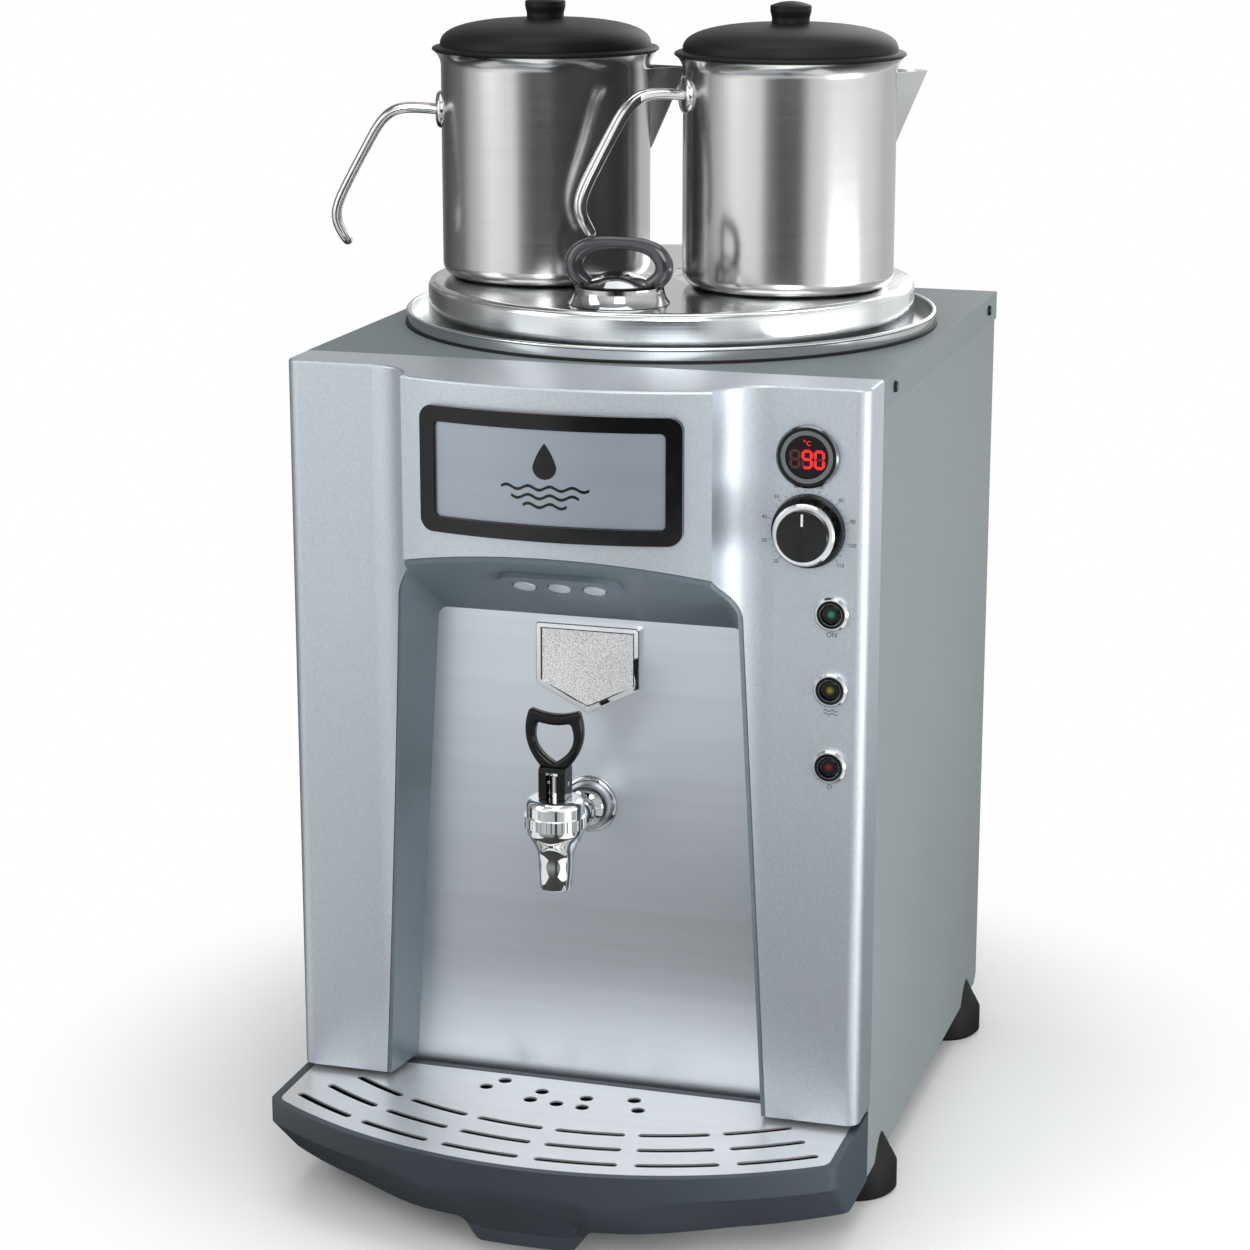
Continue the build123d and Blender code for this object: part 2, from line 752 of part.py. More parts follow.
# Temperature meter: a bezel with its body in the hollow column, and a flush window
with BuildPart() as meter_bezel:
    with BuildSketch(at_y(column_face)):
        with Locations((meter_x, meter_z)):
            Circle(meter_radius)
    extrude(amount=bezel_proud)
    chamfer(meter_bezel.faces().sort_by(Axis.Y)[0].edges(), bezel_proud / 4)
    with BuildSketch(at_y(column_face)):
        with Locations((meter_x, meter_z)):
            Circle(meter_body_radius)
    extrude(amount=-meter_body)
    with BuildSketch(at_y(column_face - bezel_proud)):
        with Locations((meter_x, meter_z)):
            Circle(meter_window_radius)
    extrude(amount=-meter_pocket, mode=Mode.SUBTRACT)
save(meter_bezel, "meter_bezel")
with BuildPart() as meter_window:
    with BuildSketch(at_y(column_face - bezel_proud + window_sink)):
        with Locations((meter_x, meter_z)):
            Circle(meter_window_radius - seat_gap)
    extrude(amount=-window_thick)
save(meter_window, "meter_window")

# Lamps: bright bezels in a row below the knob, each with its coloured lens
with BuildPart() as lamp_bezels:
    with BuildSketch(at_y(column_face)):
        with Locations(*lamp_places):
            Circle(lamp_radius)
    extrude(amount=lamp_proud)
    chamfer(lamp_bezels.edges().group_by(Axis.Y)[0], lamp_proud / 3)
    with BuildSketch(at_y(column_face)):
        with Locations(*lamp_places):
            Circle(lamp_body_radius)
    extrude(amount=-lamp_body)
    with BuildSketch(at_y(column_face - lamp_proud)):
        with Locations(*lamp_places):
            Circle(lamp_lens_radius + seat_gap)
    extrude(amount=-lamp_pocket, mode=Mode.SUBTRACT)
save(lamp_bezels, "lamp_bezels")
for colour, place in zip(lamp_names, lamp_places):
    with BuildPart() as lamp_lens:
        with BuildSketch(at_y(column_face - lamp_proud + lamp_pocket)):
            with Locations(place):
                Circle(lamp_lens_radius)
        extrude(amount=lamp_pocket - lamp_sink)
        fillet(lamp_lens.edges().group_by(Axis.Y)[0], lamp_lens_radius / 3)
    save(lamp_lens, f"lamp_lens_{colour}")

# Thermostat behind the bulkhead, with a bush through it, its shaft, and the fluted knob with a bright ring
thermostat_y = bulkhead_face + sheet + thermostat_size[1] / 2
with BuildPart() as thermostat_body:
    with Locations((knob_x, thermostat_y, knob_z)):
        Box(*thermostat_size)
    with BuildSketch(at_y(bulkhead_face + sheet)):
        with Locations((knob_x, knob_z)):
            Circle(bush_radius)
    extrude(amount=bush_length)
    with BuildSketch(at_y(bulkhead_face + sheet + shaft_depth)):
        with Locations((knob_x, knob_z)):
            Circle(shaft_radius + run_gap)
    extrude(amount=bush_length + shaft_depth, mode=Mode.SUBTRACT)
save(thermostat_body, "thermostat_body")
with BuildPart() as thermostat_shaft:
    with BuildSketch(at_y(bulkhead_face + sheet + shaft_depth - move_gap)):
        with Locations((knob_x, knob_z)):
            Circle(shaft_radius)
    extrude(amount=bulkhead_face + sheet + shaft_depth - move_gap - knob_back + shaft_in_knob)
save(thermostat_shaft, "thermostat_shaft")
knob_axis_plane = at_y(knob_back)
with BuildPart() as thermostat_knob:
    with BuildSketch(knob_axis_plane):
        with Locations((knob_x, knob_z)):
            Circle(knob_skirt_radius)
    extrude(amount=knob_skirt_thick, taper=12)
    with BuildSketch(knob_axis_plane.offset(knob_skirt_thick)):
        with Locations((knob_x, knob_z)):
            Circle(knob_grip_radius)
            with PolarLocations(knob_grip_radius + flute_radius / 2, knob_flutes):
                Circle(flute_radius, mode=Mode.SUBTRACT)
    extrude(amount=knob_grip_thick)
    with BuildSketch(knob_axis_plane.offset(knob_skirt_thick + knob_grip_thick)):
        with Locations((knob_x, knob_z)):
            Circle(knob_cap_radius)
    extrude(amount=knob_proud - knob_skirt_thick - knob_grip_thick)
    chamfer(thermostat_knob.edges().group_by(Axis.Y)[0], pointer_depth)
    with BuildSketch(knob_axis_plane.offset(knob_proud)):
        with Locations((knob_x, knob_z + knob_cap_radius / 2)):
            Rectangle(pointer_width, knob_cap_radius)
    extrude(amount=-pointer_depth, mode=Mode.SUBTRACT)
    with BuildSketch(knob_axis_plane):
        with Locations((knob_x, knob_z)):
            Circle(shaft_radius + run_gap)
    extrude(amount=shaft_in_knob + move_gap, mode=Mode.SUBTRACT)
save(thermostat_knob, "thermostat_knob")
with BuildPart() as knob_trim_ring:
    with BuildSketch(knob_axis_plane.offset(knob_skirt_thick + knob_grip_thick)):
        with Locations((knob_x, knob_z)):
            Circle(knob_grip_radius)
            Circle(knob_cap_radius + run_gap, mode=Mode.SUBTRACT)
    extrude(amount=knob_ring_thick)
    chamfer(knob_trim_ring.faces().sort_by(Axis.Y)[0].outer_wire().edges(), knob_ring_thick / 3)
save(knob_trim_ring, "knob_trim_ring")

# Tap body: a turned spout with the valve chamber above its seat, and the shank that feeds it
with BuildPart() as tap_body:
    with BuildSketch(at_y(tap_y)) as tap_profile:
        with BuildLine():
            Polyline(
                (0, spout_bottom),
                (spout_radius, spout_bottom),
                (spout_radius, spout_straight),
                (tap_body_radius, tap_shoulder),
                (tap_body_radius, tap_body_top),
                (0, tap_body_top),
                close=True,
            )
        make_face()
        bends = tap_profile.vertices().filter_by(lambda v: spout_straight - 1 < v.Y < tap_shoulder + 1)
        fillet(bends, spout_radius / 2)
    revolve(axis=tap_axis)
    with BuildSketch(at_y(shank_end)):
        with Locations((0, shank_z)):
            Circle(shank_radius)
    extrude(amount=shank_end - tap_y - chamber_radius)
    with Locations((0, tap_y, spout_bottom)):
        Cylinder(
            spout_bore,
            valve_seat - spout_bottom,
            align=(Align.CENTER, Align.CENTER, Align.MIN),
            mode=Mode.SUBTRACT,
        )
    with Locations((0, tap_y, valve_seat)):
        Cylinder(
            chamber_radius,
            tap_body_top - valve_seat,
            align=(Align.CENTER, Align.CENTER, Align.MIN),
            mode=Mode.SUBTRACT,
        )
    with BuildSketch(at_y(shank_end)):
        with Locations((0, shank_z)):
            Circle(shank_bore)
    extrude(amount=shank_end - tap_y, mode=Mode.SUBTRACT)
save(tap_body, "tap_body")

# Tap bonnet: a domed cap with a knurled foot, hollow for the spring, drilled for the stem
with BuildPart() as tap_bonnet:
    with BuildSketch(at_y(tap_y)):
        with BuildLine():
            mid_radius = between(bonnet_flat, bonnet_radius, 0.75)
            mid_z = between(bonnet_shoulder, bonnet_top, 0.72)
            Polyline(
                (chamber_radius, tap_body_top),
                (knurl_radius, tap_body_top),
                (knurl_radius, knurl_top),
                (bonnet_radius, knurl_top),
                (bonnet_radius, bonnet_shoulder),
            )
            ThreePointArc((bonnet_radius, bonnet_shoulder), (mid_radius, mid_z), (bonnet_flat, bonnet_top))
            Polyline(
                (bonnet_flat, bonnet_top),
                (stem_radius + stem_gap, bonnet_top),
                (stem_radius + stem_gap, bonnet_top - bonnet_wall),
                (chamber_radius, bonnet_top - bonnet_wall),
                (chamber_radius, tap_body_top),
            )
        make_face()
    revolve(axis=tap_axis)
    with BuildSketch(Plane.XY.offset(tap_body_top)):
        with Locations((0, tap_y)):
            with PolarLocations(knurl_radius + knurl_notch / 4, knurl_count):
                Rectangle(knurl_notch, knurl_notch, rotation=45)
    extrude(amount=knurl_top - tap_body_top, mode=Mode.SUBTRACT)
save(tap_bonnet, "tap_bonnet")

# Rosette in front of the bulkhead, lock nut behind it, and the seal in the boiler's outlet
with BuildPart() as tap_rosette:
    with BuildSketch(at_y(bulkhead_face)):
        with Locations((0, shank_z)):
            Circle(rosette_radius)
            Circle(shank_radius + run_gap, mode=Mode.SUBTRACT)
    extrude(amount=rosette_thick)
    fillet(tap_rosette.faces().sort_by(Axis.Y)[0].outer_wire().edges(), rosette_thick / 2)
save(tap_rosette, "tap_rosette")
with BuildPart() as shank_nut:
    with BuildSketch(at_y(bulkhead_face + sheet)):
        with Locations((0, shank_z)):
            RegularPolygon(nut_radius, 6)
            Circle(shank_radius + run_gap, mode=Mode.SUBTRACT)
    extrude(amount=-nut_thick)
save(shank_nut, "shank_nut")
with BuildPart() as shank_seal:
    with BuildSketch(at_y(stub_end + 1)):
        with Locations((0, shank_z)):
            Circle(stub_bore - run_gap)
            Circle(shank_radius + run_gap, mode=Mode.SUBTRACT)
    extrude(amount=-seal_length)
save(shank_seal, "shank_seal")

# Valve: a silicone cup on the seat, a stem up through the bonnet, and the spring that holds it shut
with BuildPart() as valve_cup:
    with BuildSketch(Plane.XY.offset(valve_seat + seat_gap)):
        with Locations((0, tap_y)):
            Circle(cup_radius)
    extrude(amount=cup_top - valve_seat - seat_gap)
    with BuildSketch(Plane.XY.offset(stem_foot)):
        with Locations((0, tap_y)):
            Circle(stem_radius + run_gap)
    extrude(amount=cup_top - stem_foot, mode=Mode.SUBTRACT)
save(valve_cup, "valve_cup")
with BuildPart() as valve_stem:
    with BuildSketch(Plane.XY.offset(stem_foot + seat_gap)):
        with Locations((0, tap_y)):
            Circle(stem_radius)
    extrude(amount=pin_z + stem_over_pin - stem_foot - seat_gap)
    with BuildSketch(at_x(-lever_width)):
        with Locations((tap_y, pin_z)):
            Circle(pin_radius + run_gap)
    extrude(amount=2 * lever_width, mode=Mode.SUBTRACT)
save(valve_stem, "valve_stem")
spring_foot = cup_top + spring_wire + run_gap
spring_head = bonnet_top - bonnet_wall - spring_wire - run_gap
with BuildPart() as valve_spring:
    with BuildLine():
        spring_length = spring_head - spring_foot
        pitch = spring_length / spring_turns
        coil = Helix(pitch, spring_length, spring_radius, center=(0, tap_y, spring_foot))
    with BuildSketch(Plane(coil @ 0, z_dir=coil % 0)):
        RegularPolygon(spring_wire, 6)
    sweep()
save(valve_spring, "valve_spring")

# Lever: a forked block on the stem's pin, with a rounded stirrup above it, and the pin itself
with BuildPart() as tap_lever:
    lever_foot = bonnet_top + move_gap
    with BuildSketch(at_y(tap_y - ring_thick / 2)) as stirrup:
        with BuildLine():
            ThreePointArc((-ring_horn, ring_top), (0, ring_top - ring_dip), (ring_horn, ring_top))
            Spline((ring_horn, ring_top), (ring_half, ring_shoulder), (ring_neck, ring_root))
            Line((ring_neck, ring_root), (-ring_neck, ring_root))
            Spline((-ring_neck, ring_root), (-ring_half, ring_shoulder), (-ring_horn, ring_top))
        make_face()
        fillet(stirrup.vertices().group_by(Axis.Y)[-1], horn_round)
    extrude(amount=-ring_thick)
    with BuildSketch(at_y(tap_y - ring_thick)) as ring_hole:
        with BuildLine():
            ThreePointArc((-hole_top_half, hole_top), (0, hole_top - hole_dip), (hole_top_half, hole_top))
            Spline((hole_top_half, hole_top), (hole_half, ring_shoulder), (0, hole_foot))
            Spline((0, hole_foot), (-hole_half, ring_shoulder), (-hole_top_half, hole_top))
        make_face()
        fillet(ring_hole.vertices(), horn_round)
    extrude(amount=-2 * ring_thick, mode=Mode.SUBTRACT)
    rims = tap_lever.faces().filter_by(Axis.Y).edges().filter_by(lambda e: e.center().Z > ring_root + 1)
    fillet(rims, ring_round)
    with BuildSketch(at_x(-lever_width / 2)) as block:
        with Locations((tap_y, (lever_foot + lever_top) / 2)):
            Rectangle(lever_depth, lever_top - lever_foot)
        fillet(block.vertices().group_by(Axis.Y)[-1], lever_round)
    extrude(amount=lever_width)
    with Locations((0, tap_y, pin_z + lever_slot_over_pin)):
        Box(
            lever_slot,
            2 * lever_depth,
            2 * lever_depth,
            align=(Align.CENTER, Align.CENTER, Align.MAX),
            mode=Mode.SUBTRACT,
        )
    with BuildSketch(at_x(-lever_width)):
        with Locations((tap_y, pin_z)):
            Circle(pin_radius + run_gap)
    extrude(amount=2 * lever_width, mode=Mode.SUBTRACT)
save(tap_lever, "tap_lever")
with BuildPart() as lever_pin:
    with BuildSketch(at_x(-lever_width / 2)):
        with Locations((tap_y, pin_z)):
            Circle(pin_radius)
    extrude(amount=lever_width)
save(lever_pin, "lever_pin")

# Tray pan: a tapering bow-fronted basin with an upright rim, a ledge for the grille and a finger tab
ledge_inset = tray_wall + ledge_width
tab_turn = radians(-90 - tab_angle / 2)
tab_plane = Plane(
    (0, tray_centre_y, 0), x_dir=(cos(tab_turn), sin(tab_turn), 0), z_dir=(sin(tab_turn), -cos(tab_turn), 0)
)
with BuildPart() as tray_pan:
    with BuildSketch(tab_plane):
        with BuildLine():
            Polyline(
                (tray_foot_radius - tab_thick, tab_bottom),
                (tab_low_radius, tab_bottom),
                (tab_high_radius, tab_top),
                (tray_foot_radius - tab_thick, tab_top),
                close=True,
            )
        make_face()
    revolve(axis=Axis((0, tray_centre_y, 0), (0, 0, 1)), revolution_arc=tab_angle)
    with BuildSketch(at_y(tray_centre_y)) as tab:
        with BuildLine():
            Polyline(
                (-tab_half_low, tab_bottom),
                (tab_half_low, tab_bottom),
                (tab_half_high, tab_top),
                (-tab_half_high, tab_top),
                close=True,
            )
        make_face()
        fillet(tab.vertices().group_by(Axis.Y)[0], tab_round)
    extrude(amount=2 * tray_rim_radius, mode=Mode.INTERSECT)
    for z, radius in ((tray_floor, tray_foot_radius), (tray_rim_bottom, tray_rim_radius)):
        with BuildSketch(Plane.XY.offset(z)):
            add(tray_plan(radius))
    loft(ruled=True)
    with BuildSketch(Plane.XY.offset(tray_rim_bottom)):
        add(tray_plan(tray_rim_radius))
    extrude(amount=tray_top - tray_rim_bottom)
    pan_floor = tray_floor + tray_floor_thick
    for z, radius in ((pan_floor, tray_foot_radius), (tray_rim_bottom, tray_rim_radius)):
        with BuildSketch(Plane.XY.offset(z)):
            add(tray_plan(radius - ledge_inset, ledge_inset))
    loft(ruled=True, mode=Mode.SUBTRACT)
    with BuildSketch(Plane.XY.offset(tray_rim_bottom)):
        add(tray_plan(tray_rim_radius - ledge_inset, ledge_inset))
    extrude(amount=tray_top - tray_rim_bottom, mode=Mode.SUBTRACT)
    with BuildSketch(Plane.XY.offset(tray_top - grille_thick - seat_gap)):
        add(tray_plan(tray_rim_radius - tray_wall, tray_wall))
    extrude(amount=grille_thick + seat_gap, mode=Mode.SUBTRACT)
save(tray_pan, "tray_pan")

# Grille: a sheet on the tray's ledge, with three rows of curved slots and a few round drain holes
grille_inset = tray_wall + move_gap
with BuildPart() as tray_grille:
    with BuildSketch(Plane.XY.offset(tray_top - grille_thick - seat_gap)):
        add(tray_plan(tray_rim_radius - grille_inset, grille_inset))
        for inset in slot_insets:
            for angle in slot_angles:
                start = angle - 90 - slot_arc / 2
                row_radius = tray_rim_radius - inset
                row = CenterArc((0, tray_centre_y), row_radius, start, slot_arc, mode=Mode.PRIVATE)
                SlotArc(row, slot_width, mode=Mode.SUBTRACT)
        with Locations(*[(x, tray_rear - out) for x, out in drain_places]):
            Circle(drain_radius, mode=Mode.SUBTRACT)
    extrude(amount=grille_thick)
save(tray_grille, "tray_grille")

# Rails: two flat bars under the base plate that reach out and carry the tray
with BuildPart() as tray_rails:
    for side in (-1, 1):
        with Locations((side * rail_x, (rail_front + rail_rear) / 2, cabinet_bottom - rail_thick / 2)):
            Box(rail_width, rail_rear - rail_front, rail_thick)
save(tray_rails, "tray_rails")

# Boiler tank: a deep drawn vessel hung in the cover by its gutter rim, with an outlet stub for the tap
with BuildPart() as boiler_tank:
    with BuildSketch(Plane.XZ) as tank_profile:
        with BuildLine():
            Polyline(
                (0, tank_bottom),
                (tank_radius, tank_bottom),
                (tank_radius, cabinet_top),
                (gutter_radius, cabinet_top),
                (gutter_radius, gutter_top),
                (gutter_radius - boiler_sheet, gutter_top),
                (gutter_radius - boiler_sheet, tank_seat),
                (tank_radius - boiler_sheet, tank_seat),
                (tank_radius - boiler_sheet, tank_bottom + boiler_sheet),
                (0, tank_bottom + boiler_sheet),
                close=True,
            )
        make_face()
        low_corners = tank_profile.vertices().filter_by(
            lambda v: v.X > tank_radius / 2 and v.Y < tank_bottom + 2 * boiler_sheet
        )
        fillet(low_corners.sort_by(Axis.X)[-1], tank_round)
        fillet(low_corners.sort_by(Axis.X)[0], tank_round - boiler_sheet)
    revolve(axis=Axis.Z)
    with BuildSketch(at_y(-tank_radius + boiler_sheet / 2)):
        with Locations((0, shank_z)):
            Circle(stub_radius)
    extrude(amount=-tank_radius + boiler_sheet / 2 - stub_end)
    with BuildSketch(at_y(-tank_radius + tank_round)):
        with Locations((0, shank_z)):
            Circle(stub_bore)
    extrude(amount=tank_round - tank_radius - stub_end, mode=Mode.SUBTRACT)
    with BuildSketch(Plane.XY.offset(tank_bottom)):
        with Locations(*heater_legs):
            Circle(heater_tube + screw_gap)
    extrude(amount=boiler_sheet, mode=Mode.SUBTRACT)
save(boiler_tank, "boiler_tank")

# Boiler lid: an inverted pan standing in the gutter, with a filler hole and steam slits
with BuildPart() as boiler_lid:
    with BuildSketch(Plane.XZ) as lid_profile:
        with BuildLine():
            Polyline(
                (0, lid_top),
                (lid_radius, lid_top),
                (lid_radius, tank_seat + move_gap),
                (lid_radius - boiler_sheet, tank_seat + move_gap),
                (lid_radius - boiler_sheet, lid_top - boiler_sheet),
                (0, lid_top - boiler_sheet),
                close=True,
            )
        make_face()
        high_corners = lid_profile.vertices().filter_by(
            lambda v: v.X > lid_radius / 2 and v.Y > lid_top - 2 * boiler_sheet
        )
        fillet(high_corners.sort_by(Axis.X)[-1], lid_round)
        fillet(high_corners.sort_by(Axis.X)[0], lid_round - boiler_sheet)
    revolve(axis=Axis.Z)
    with BuildSketch(Plane.XY.offset(lid_top)):
        with Locations((0, filler_y)):
            Circle(filler_hole)
        with Locations(*steam_places):
            SlotOverall(steam_length, steam_width)
    extrude(amount=-2 * boiler_sheet, mode=Mode.SUBTRACT)
save(boiler_lid, "boiler_lid")

# Insulation jacket round the tank, with a hole for the outlet stub
with BuildPart() as insulation_jacket:
    with BuildSketch(Plane.XY.offset(jacket_bottom)):
        Circle(tank_radius + jacket_gap + jacket_thick)
        Circle(tank_radius + jacket_gap, mode=Mode.SUBTRACT)
    extrude(amount=jacket_top - jacket_bottom)
    with BuildSketch(at_y(0)):
        with Locations((0, shank_z)):
            Circle(stub_radius + jacket_gap)
    extrude(amount=-bulkhead_face, mode=Mode.SUBTRACT)
save(insulation_jacket, "insulation_jacket")

# Heating element: an open ring in the bottom of the tank, with elbows to two legs through its floor
heater_start = degrees(atan2(heater_legs[0][1], heater_legs[0][0]))
heater_sweep = 360 - 2 * (heater_start - 90)
with BuildPart() as heater_element:
    with BuildSketch(Plane.XZ.rotated((0, 0, heater_start))):
        with Locations((heater_ring, heater_z)):
            Circle(heater_tube)
    revolve(axis=Axis.Z, revolution_arc=heater_sweep)
    with Locations(*[(x, y, heater_z) for x, y in heater_legs]):
        Sphere(heater_elbow)
    with BuildSketch(Plane.XY.offset(heater_leg_end)):
        with Locations(*heater_legs):
            Circle(heater_tube)
    extrude(amount=heater_z - heater_leg_end)
save(heater_element, "heater_element")

# Limit thermostat on the underside of the tank, and the terminal block on the base plate
with BuildPart() as limit_thermostat:
    with BuildSketch(Plane.XY.offset(tank_bottom)):
        with Locations(limit_place):
            Circle(limit_radius)
    extrude(amount=-limit_height)
save(limit_thermostat, "limit_thermostat")
with BuildPart() as terminal_block:
    with Locations((*terminal_place, cabinet_bottom + sheet + terminal_size[2] / 2)):
        Box(*terminal_size)
    with BuildSketch(Plane.XY.offset(cabinet_bottom + sheet + terminal_size[2])):
        with Locations(terminal_place):
            with GridLocations(terminal_size[0] / 5, 1, 5, 1):
                Circle(terminal_size[0] / 16)
    extrude(amount=-terminal_size[2] / 2, mode=Mode.SUBTRACT)
save(terminal_block, "terminal_block")

# Cord gland in the rear panel, and its nut inside
with BuildPart() as cord_gland:
    with BuildSketch(at_y(rear_face)):
        with Locations((gland_x, gland_z)):
            Circle(gland_stud)
    extrude(amount=gland_length)
    with BuildSketch(Plane((gland_x, rear_face, gland_z), z_dir=(0, 1, 0))):
        Circle(gland_flange)
    extrude(amount=gland_length, taper=14)
    with BuildSketch(at_y(rear_face + gland_length)):
        with Locations((gland_x, gland_z)):
            Circle(gland_bore)
    extrude(amount=2 * gland_length, mode=Mode.SUBTRACT)
save(cord_gland, "cord_gland")
with BuildPart() as gland_nut:
    with BuildSketch(at_y(rear_face - sheet)):
        with Locations((gland_x, gland_z)):
            RegularPolygon(gland_flange, 6)
            Circle(gland_stud + run_gap, mode=Mode.SUBTRACT)
    extrude(amount=nut_thick)
save(gland_nut, "gland_nut")

# Filler cap: a pressed cap with a flared skirt and a polished dome, plugged into the lid's hole
with BuildPart() as filler_cap:
    with BuildSketch(at_y(filler_y)):
        with BuildLine():
            skirt_foot = lid_top + move_gap
            skirt_mid = (between(filler_neck, filler_skirt, 0.25), lid_top + 0.45 * filler_height)
            dome_rise = filler_dome_top - filler_height
            dome_mid_z = lid_top + filler_height + arc_height(filler_dome / 2, dome_rise, filler_dome)
            dome_mid = (filler_dome / 2, dome_mid_z)
            Polyline(
                (0, lid_top - filler_plug),
                (filler_hole - move_gap, lid_top - filler_plug),
                (filler_hole - move_gap, skirt_foot),
                (filler_skirt, skirt_foot),
            )
            ThreePointArc((filler_skirt, skirt_foot), skirt_mid, (filler_neck, lid_top + filler_height))
            Line((filler_neck, lid_top + filler_height), (filler_dome, lid_top + filler_height))
            ThreePointArc((filler_dome, lid_top + filler_height), dome_mid, (0, lid_top + filler_dome_top))
            Line((0, lid_top + filler_dome_top), (0, lid_top - filler_plug))
        make_face()
    revolve(axis=filler_axis)
    with BuildSketch(Plane.XY.offset(lid_top - filler_plug)):
        with Locations((0, filler_y)):
            Circle(filler_dome - filler_sheet)
    extrude(amount=filler_plug + filler_height - filler_sheet, mode=Mode.SUBTRACT)
save(filler_cap, "filler_cap")

# Grip of the filler cap: an oval loop that stands on the cap's shoulder
with BuildPart() as filler_cap_grip:
    grip_side = [(x, filler_y, lid_top + z) for x, z in grip_points]
    other_side = [(-x, y, z) for x, y, z in reversed(grip_side)]
    with BuildLine() as grip_line:
        FilletPolyline(*grip_side, *other_side, radius=(*grip_bends, *reversed(grip_bends)))
    with BuildSketch(Plane(grip_line.line @ 0, x_dir=(0, 1, 0), z_dir=grip_line.line % 0)):
        Ellipse(grip_wide, grip_high)
    sweep()
save(filler_cap_grip, "filler_cap_grip")

# Teapots: body with a folded spout, twin-rod handle on a boss, domed lid and its knob
spout_foot = pot_spout_top - pot_spout_drop
spout_root = pot_radius - 4 * pot_wall
spout_tip = pot_radius + pot_spout_reach
spout_over = 0.1  # how far the spout's hollow is drawn past its top


def spout_section(reach, half, corner):
    """A horizontal slice of the spout, pointing away from the handle."""
    with BuildSketch() as section:
        with BuildLine():
            Polyline((-spout_root, -half), (-spout_root, half), (-reach, 0), close=True)
        make_face()
        fillet(section.vertices().sort_by(Axis.X)[0], corner)
    return section.sketch


